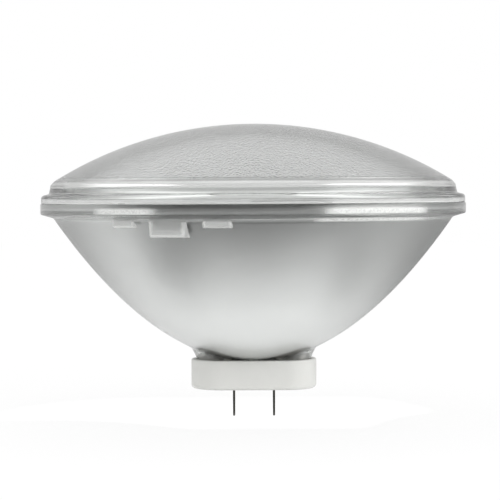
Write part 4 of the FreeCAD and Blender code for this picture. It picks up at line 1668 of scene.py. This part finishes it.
@dataclass
class Studio:
    """Floor, light and camera."""

    floor_level: float = -11.6
    floor_half: float = 2500.0
    floor_gray: float = 0.9
    floor_white: float = 0.88
    camera_distance: float = 740.0
    eye_level: float = 81.1
    pitch: float = 1.79
    roll: float = -0.3
    aside: float = 0.107
    lens: float = 126.6
    sensor: float = 36.0
    front_to_back: Span = (-0.3, 0.4)
    room: Span = (0.1, 0.45)
    overhead: Span = (0.85, 1.6)
    overhead_foot: Span = (0.22, 0.78)
    overhead_top: Span = (0.88, 0.96)
    zenith: float = 0.75
    zenith_foot: Span = (0.86, 0.96)
    ambient: float = 1.0
    backdrop: Panel = Panel(180.0, 42.0, 56.0, 0.65, (0.5, 0.6))
    right_panel: Panel = Panel(71.0, 24.0, 32.0, 1.7, (0.3, 0.55))
    left_panel: Panel = Panel(-100.0, 28.0, 48.0, 0.6, (0.3, 0.55))
    key_light: SoftLight = SoftLight("key_light", (0.7, -0.75, 0.35), 0.6, 3.2)
    fill_light: SoftLight = SoftLight("fill_light", (-0.6, -0.8, 0.5), 0.8, 0.8)

    def build_floor(self) -> None:
        """A pale floor: it keeps the shadow and shows white to the camera; glass and metal see
        floor_shade's painted falloff and shadows.
        """
        half, level = self.floor_half * MM, self.floor_level * MM
        signs = ((-1, -1), (1, -1), (1, 1), (-1, 1))
        mesh = bpy.data.meshes.new("floor")
        mesh.from_pydata([(x * half, y * half, level) for x, y in signs], [], [(0, 1, 2, 3)])
        floor = bpy.data.objects.new("floor", mesh)
        bpy.context.scene.collection.objects.link(floor)
        made = bpy.data.materials.new("pale_floor")
        made.use_nodes = True
        made.cycles.emission_sampling = "NONE"
        graph = Graph(made.node_tree.nodes, made.node_tree.links)
        diffuse = graph.nodes["Principled BSDF"]
        diffuse.inputs["Base Color"].default_value = (*[self.floor_gray] * 3, 1)
        diffuse.inputs["Roughness"].default_value = 0.9
        diffuse.inputs["Specular IOR Level"].default_value = 0.0
        white = graph.nodes.new("ShaderNodeEmission")
        camera, glossy = graph.rays("Is Camera Ray"), graph.rays("Is Glossy Ray")
        mirrored = graph.math("MAXIMUM", glossy, graph.rays("Is Transmission Ray"))
        share = graph.math("MULTIPLY_ADD", camera, self.floor_white, mirrored)
        strength = graph.math("MAXIMUM", self.floor_shade(graph), camera)
        graph.links.new(strength, white.inputs["Strength"])
        mix = graph.nodes.new("ShaderNodeMixShader")
        graph.links.new(share, mix.inputs["Fac"])
        graph.links.new(diffuse.outputs["BSDF"], mix.inputs[1])
        graph.links.new(white.outputs["Emission"], mix.inputs[2])
        graph.links.new(mix.outputs["Shader"], graph.nodes["Material Output"].inputs["Surface"])
        mesh.materials.append(made)

    def floor_shade(self, graph: Graph) -> Socket:
        """The floor as the lamp mirrors it: it falls off forwards and sideways, with two shadows.

        Args:
            graph: the floor's nodes.

        Returns:
            Its brightness.
        """
        place, level = graph.place("Object"), self.floor_level * MM
        along, aside = graph.dot(place, (0.0, 1.0, 0.0)), graph.dot(place, (1.0, 0.0, 0.0))
        left = graph.distance(place, (-0.077, -0.06, level))
        right = graph.distance(place, (0.084, -0.037, level))
        return graph.product(
            graph.ramp(along, -0.135, -0.02, 0.08, 1.16),
            graph.ramp(along, 0.0, 0.14, 1.0, 0.72),
            graph.ramp(left, 0.0, 0.058, 0.33, 1.0),
            graph.ramp(right, 0.0, 0.046, 0.5, 1.0),
            graph.ramp(aside, 0.04, 0.16, 1.0, 0.45),
            graph.ramp(aside, -0.2, -0.05, 0.65, 1.0),
        )

    def build_world(self) -> None:
        """The studio as glass and metal see it; the camera sees plain white.

        It is a dim room that is lighter behind, with a soft overhead light and three panels.
        """
        world = bpy.data.worlds.new("white_studio")
        bpy.context.scene.world = world
        world.use_nodes = True
        world.cycles.sampling_method = "NONE"
        graph = Graph(world.node_tree.nodes, world.node_tree.links)
        background = graph.nodes["Background"]
        background.inputs["Color"].default_value = (1, 1, 1, 1)
        place = graph.place("Generated")
        flat, height = graph.level(place), graph.dot(place, (0.0, 0.0, 1.0))
        turn = graph.dot(flat, (0.0, 1.0, 0.0))
        overhead = graph.product(
            graph.ramp(turn, *self.front_to_back, *self.overhead),
            graph.ramp(height, *self.overhead_foot, 0.0, 1.0),
            graph.ramp(height, *self.overhead_top, 1.0, 0.0),
        )
        zenith = graph.ramp(height, *self.zenith_foot, 0.0, self.zenith)
        room = graph.ramp(turn, *self.front_to_back, *self.room)
        studio = graph.math("MAXIMUM", graph.math("MAXIMUM", overhead, zenith), room)
        for panel in (self.backdrop, self.right_panel, self.left_panel):
            studio = graph.math("MAXIMUM", studio, panel.weight(graph, flat, height))
        ambient = graph.product(graph.rays("Is Diffuse Ray"), self.ambient)
        lit = graph.math("MAXIMUM", studio, ambient)
        strength = graph.math("MAXIMUM", lit, graph.rays("Is Camera Ray"))
        graph.links.new(strength, background.inputs["Strength"])

    def build_camera(self) -> None:
        """A long lens at the photograph's place: level with the lens rim, tipped down a little."""
        camera = bpy.data.cameras.new("camera")
        camera.lens = self.lens
        camera.sensor_width = self.sensor
        camera.clip_end = 100.0
        holder = bpy.data.objects.new("camera", camera)
        holder.location = (0.0, -self.camera_distance * MM, self.eye_level * MM)
        turn = Euler((math.radians(90 - self.pitch), 0.0, math.radians(self.aside)), "XYZ")
        tilt = Euler((0.0, 0.0, math.radians(self.roll)), "XYZ")
        holder.rotation_euler = (turn.to_matrix() @ tilt.to_matrix()).to_euler()
        bpy.context.scene.collection.objects.link(holder)
        bpy.context.scene.camera = holder

    def build(self) -> None:
        """Set the stage."""
        self.build_floor()
        self.build_world()
        self.key_light.build()
        self.fill_light.build()
        self.build_camera()
        bpy.context.scene.view_settings.view_transform = "Standard"
        log.info("stage: floor, studio, two lights and camera")


def main() -> None:
    """Build the stage and every sub-assembly, in order."""
    logging.basicConfig(level=logging.INFO, format="%(name)s: %(message)s")
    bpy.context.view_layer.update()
    for part in (Studio(), Bowl(), Lens(), ExhaustTube(), Terminals(), Burner(), Base()):
        part.build()


if __name__ == "__main__":
    main()
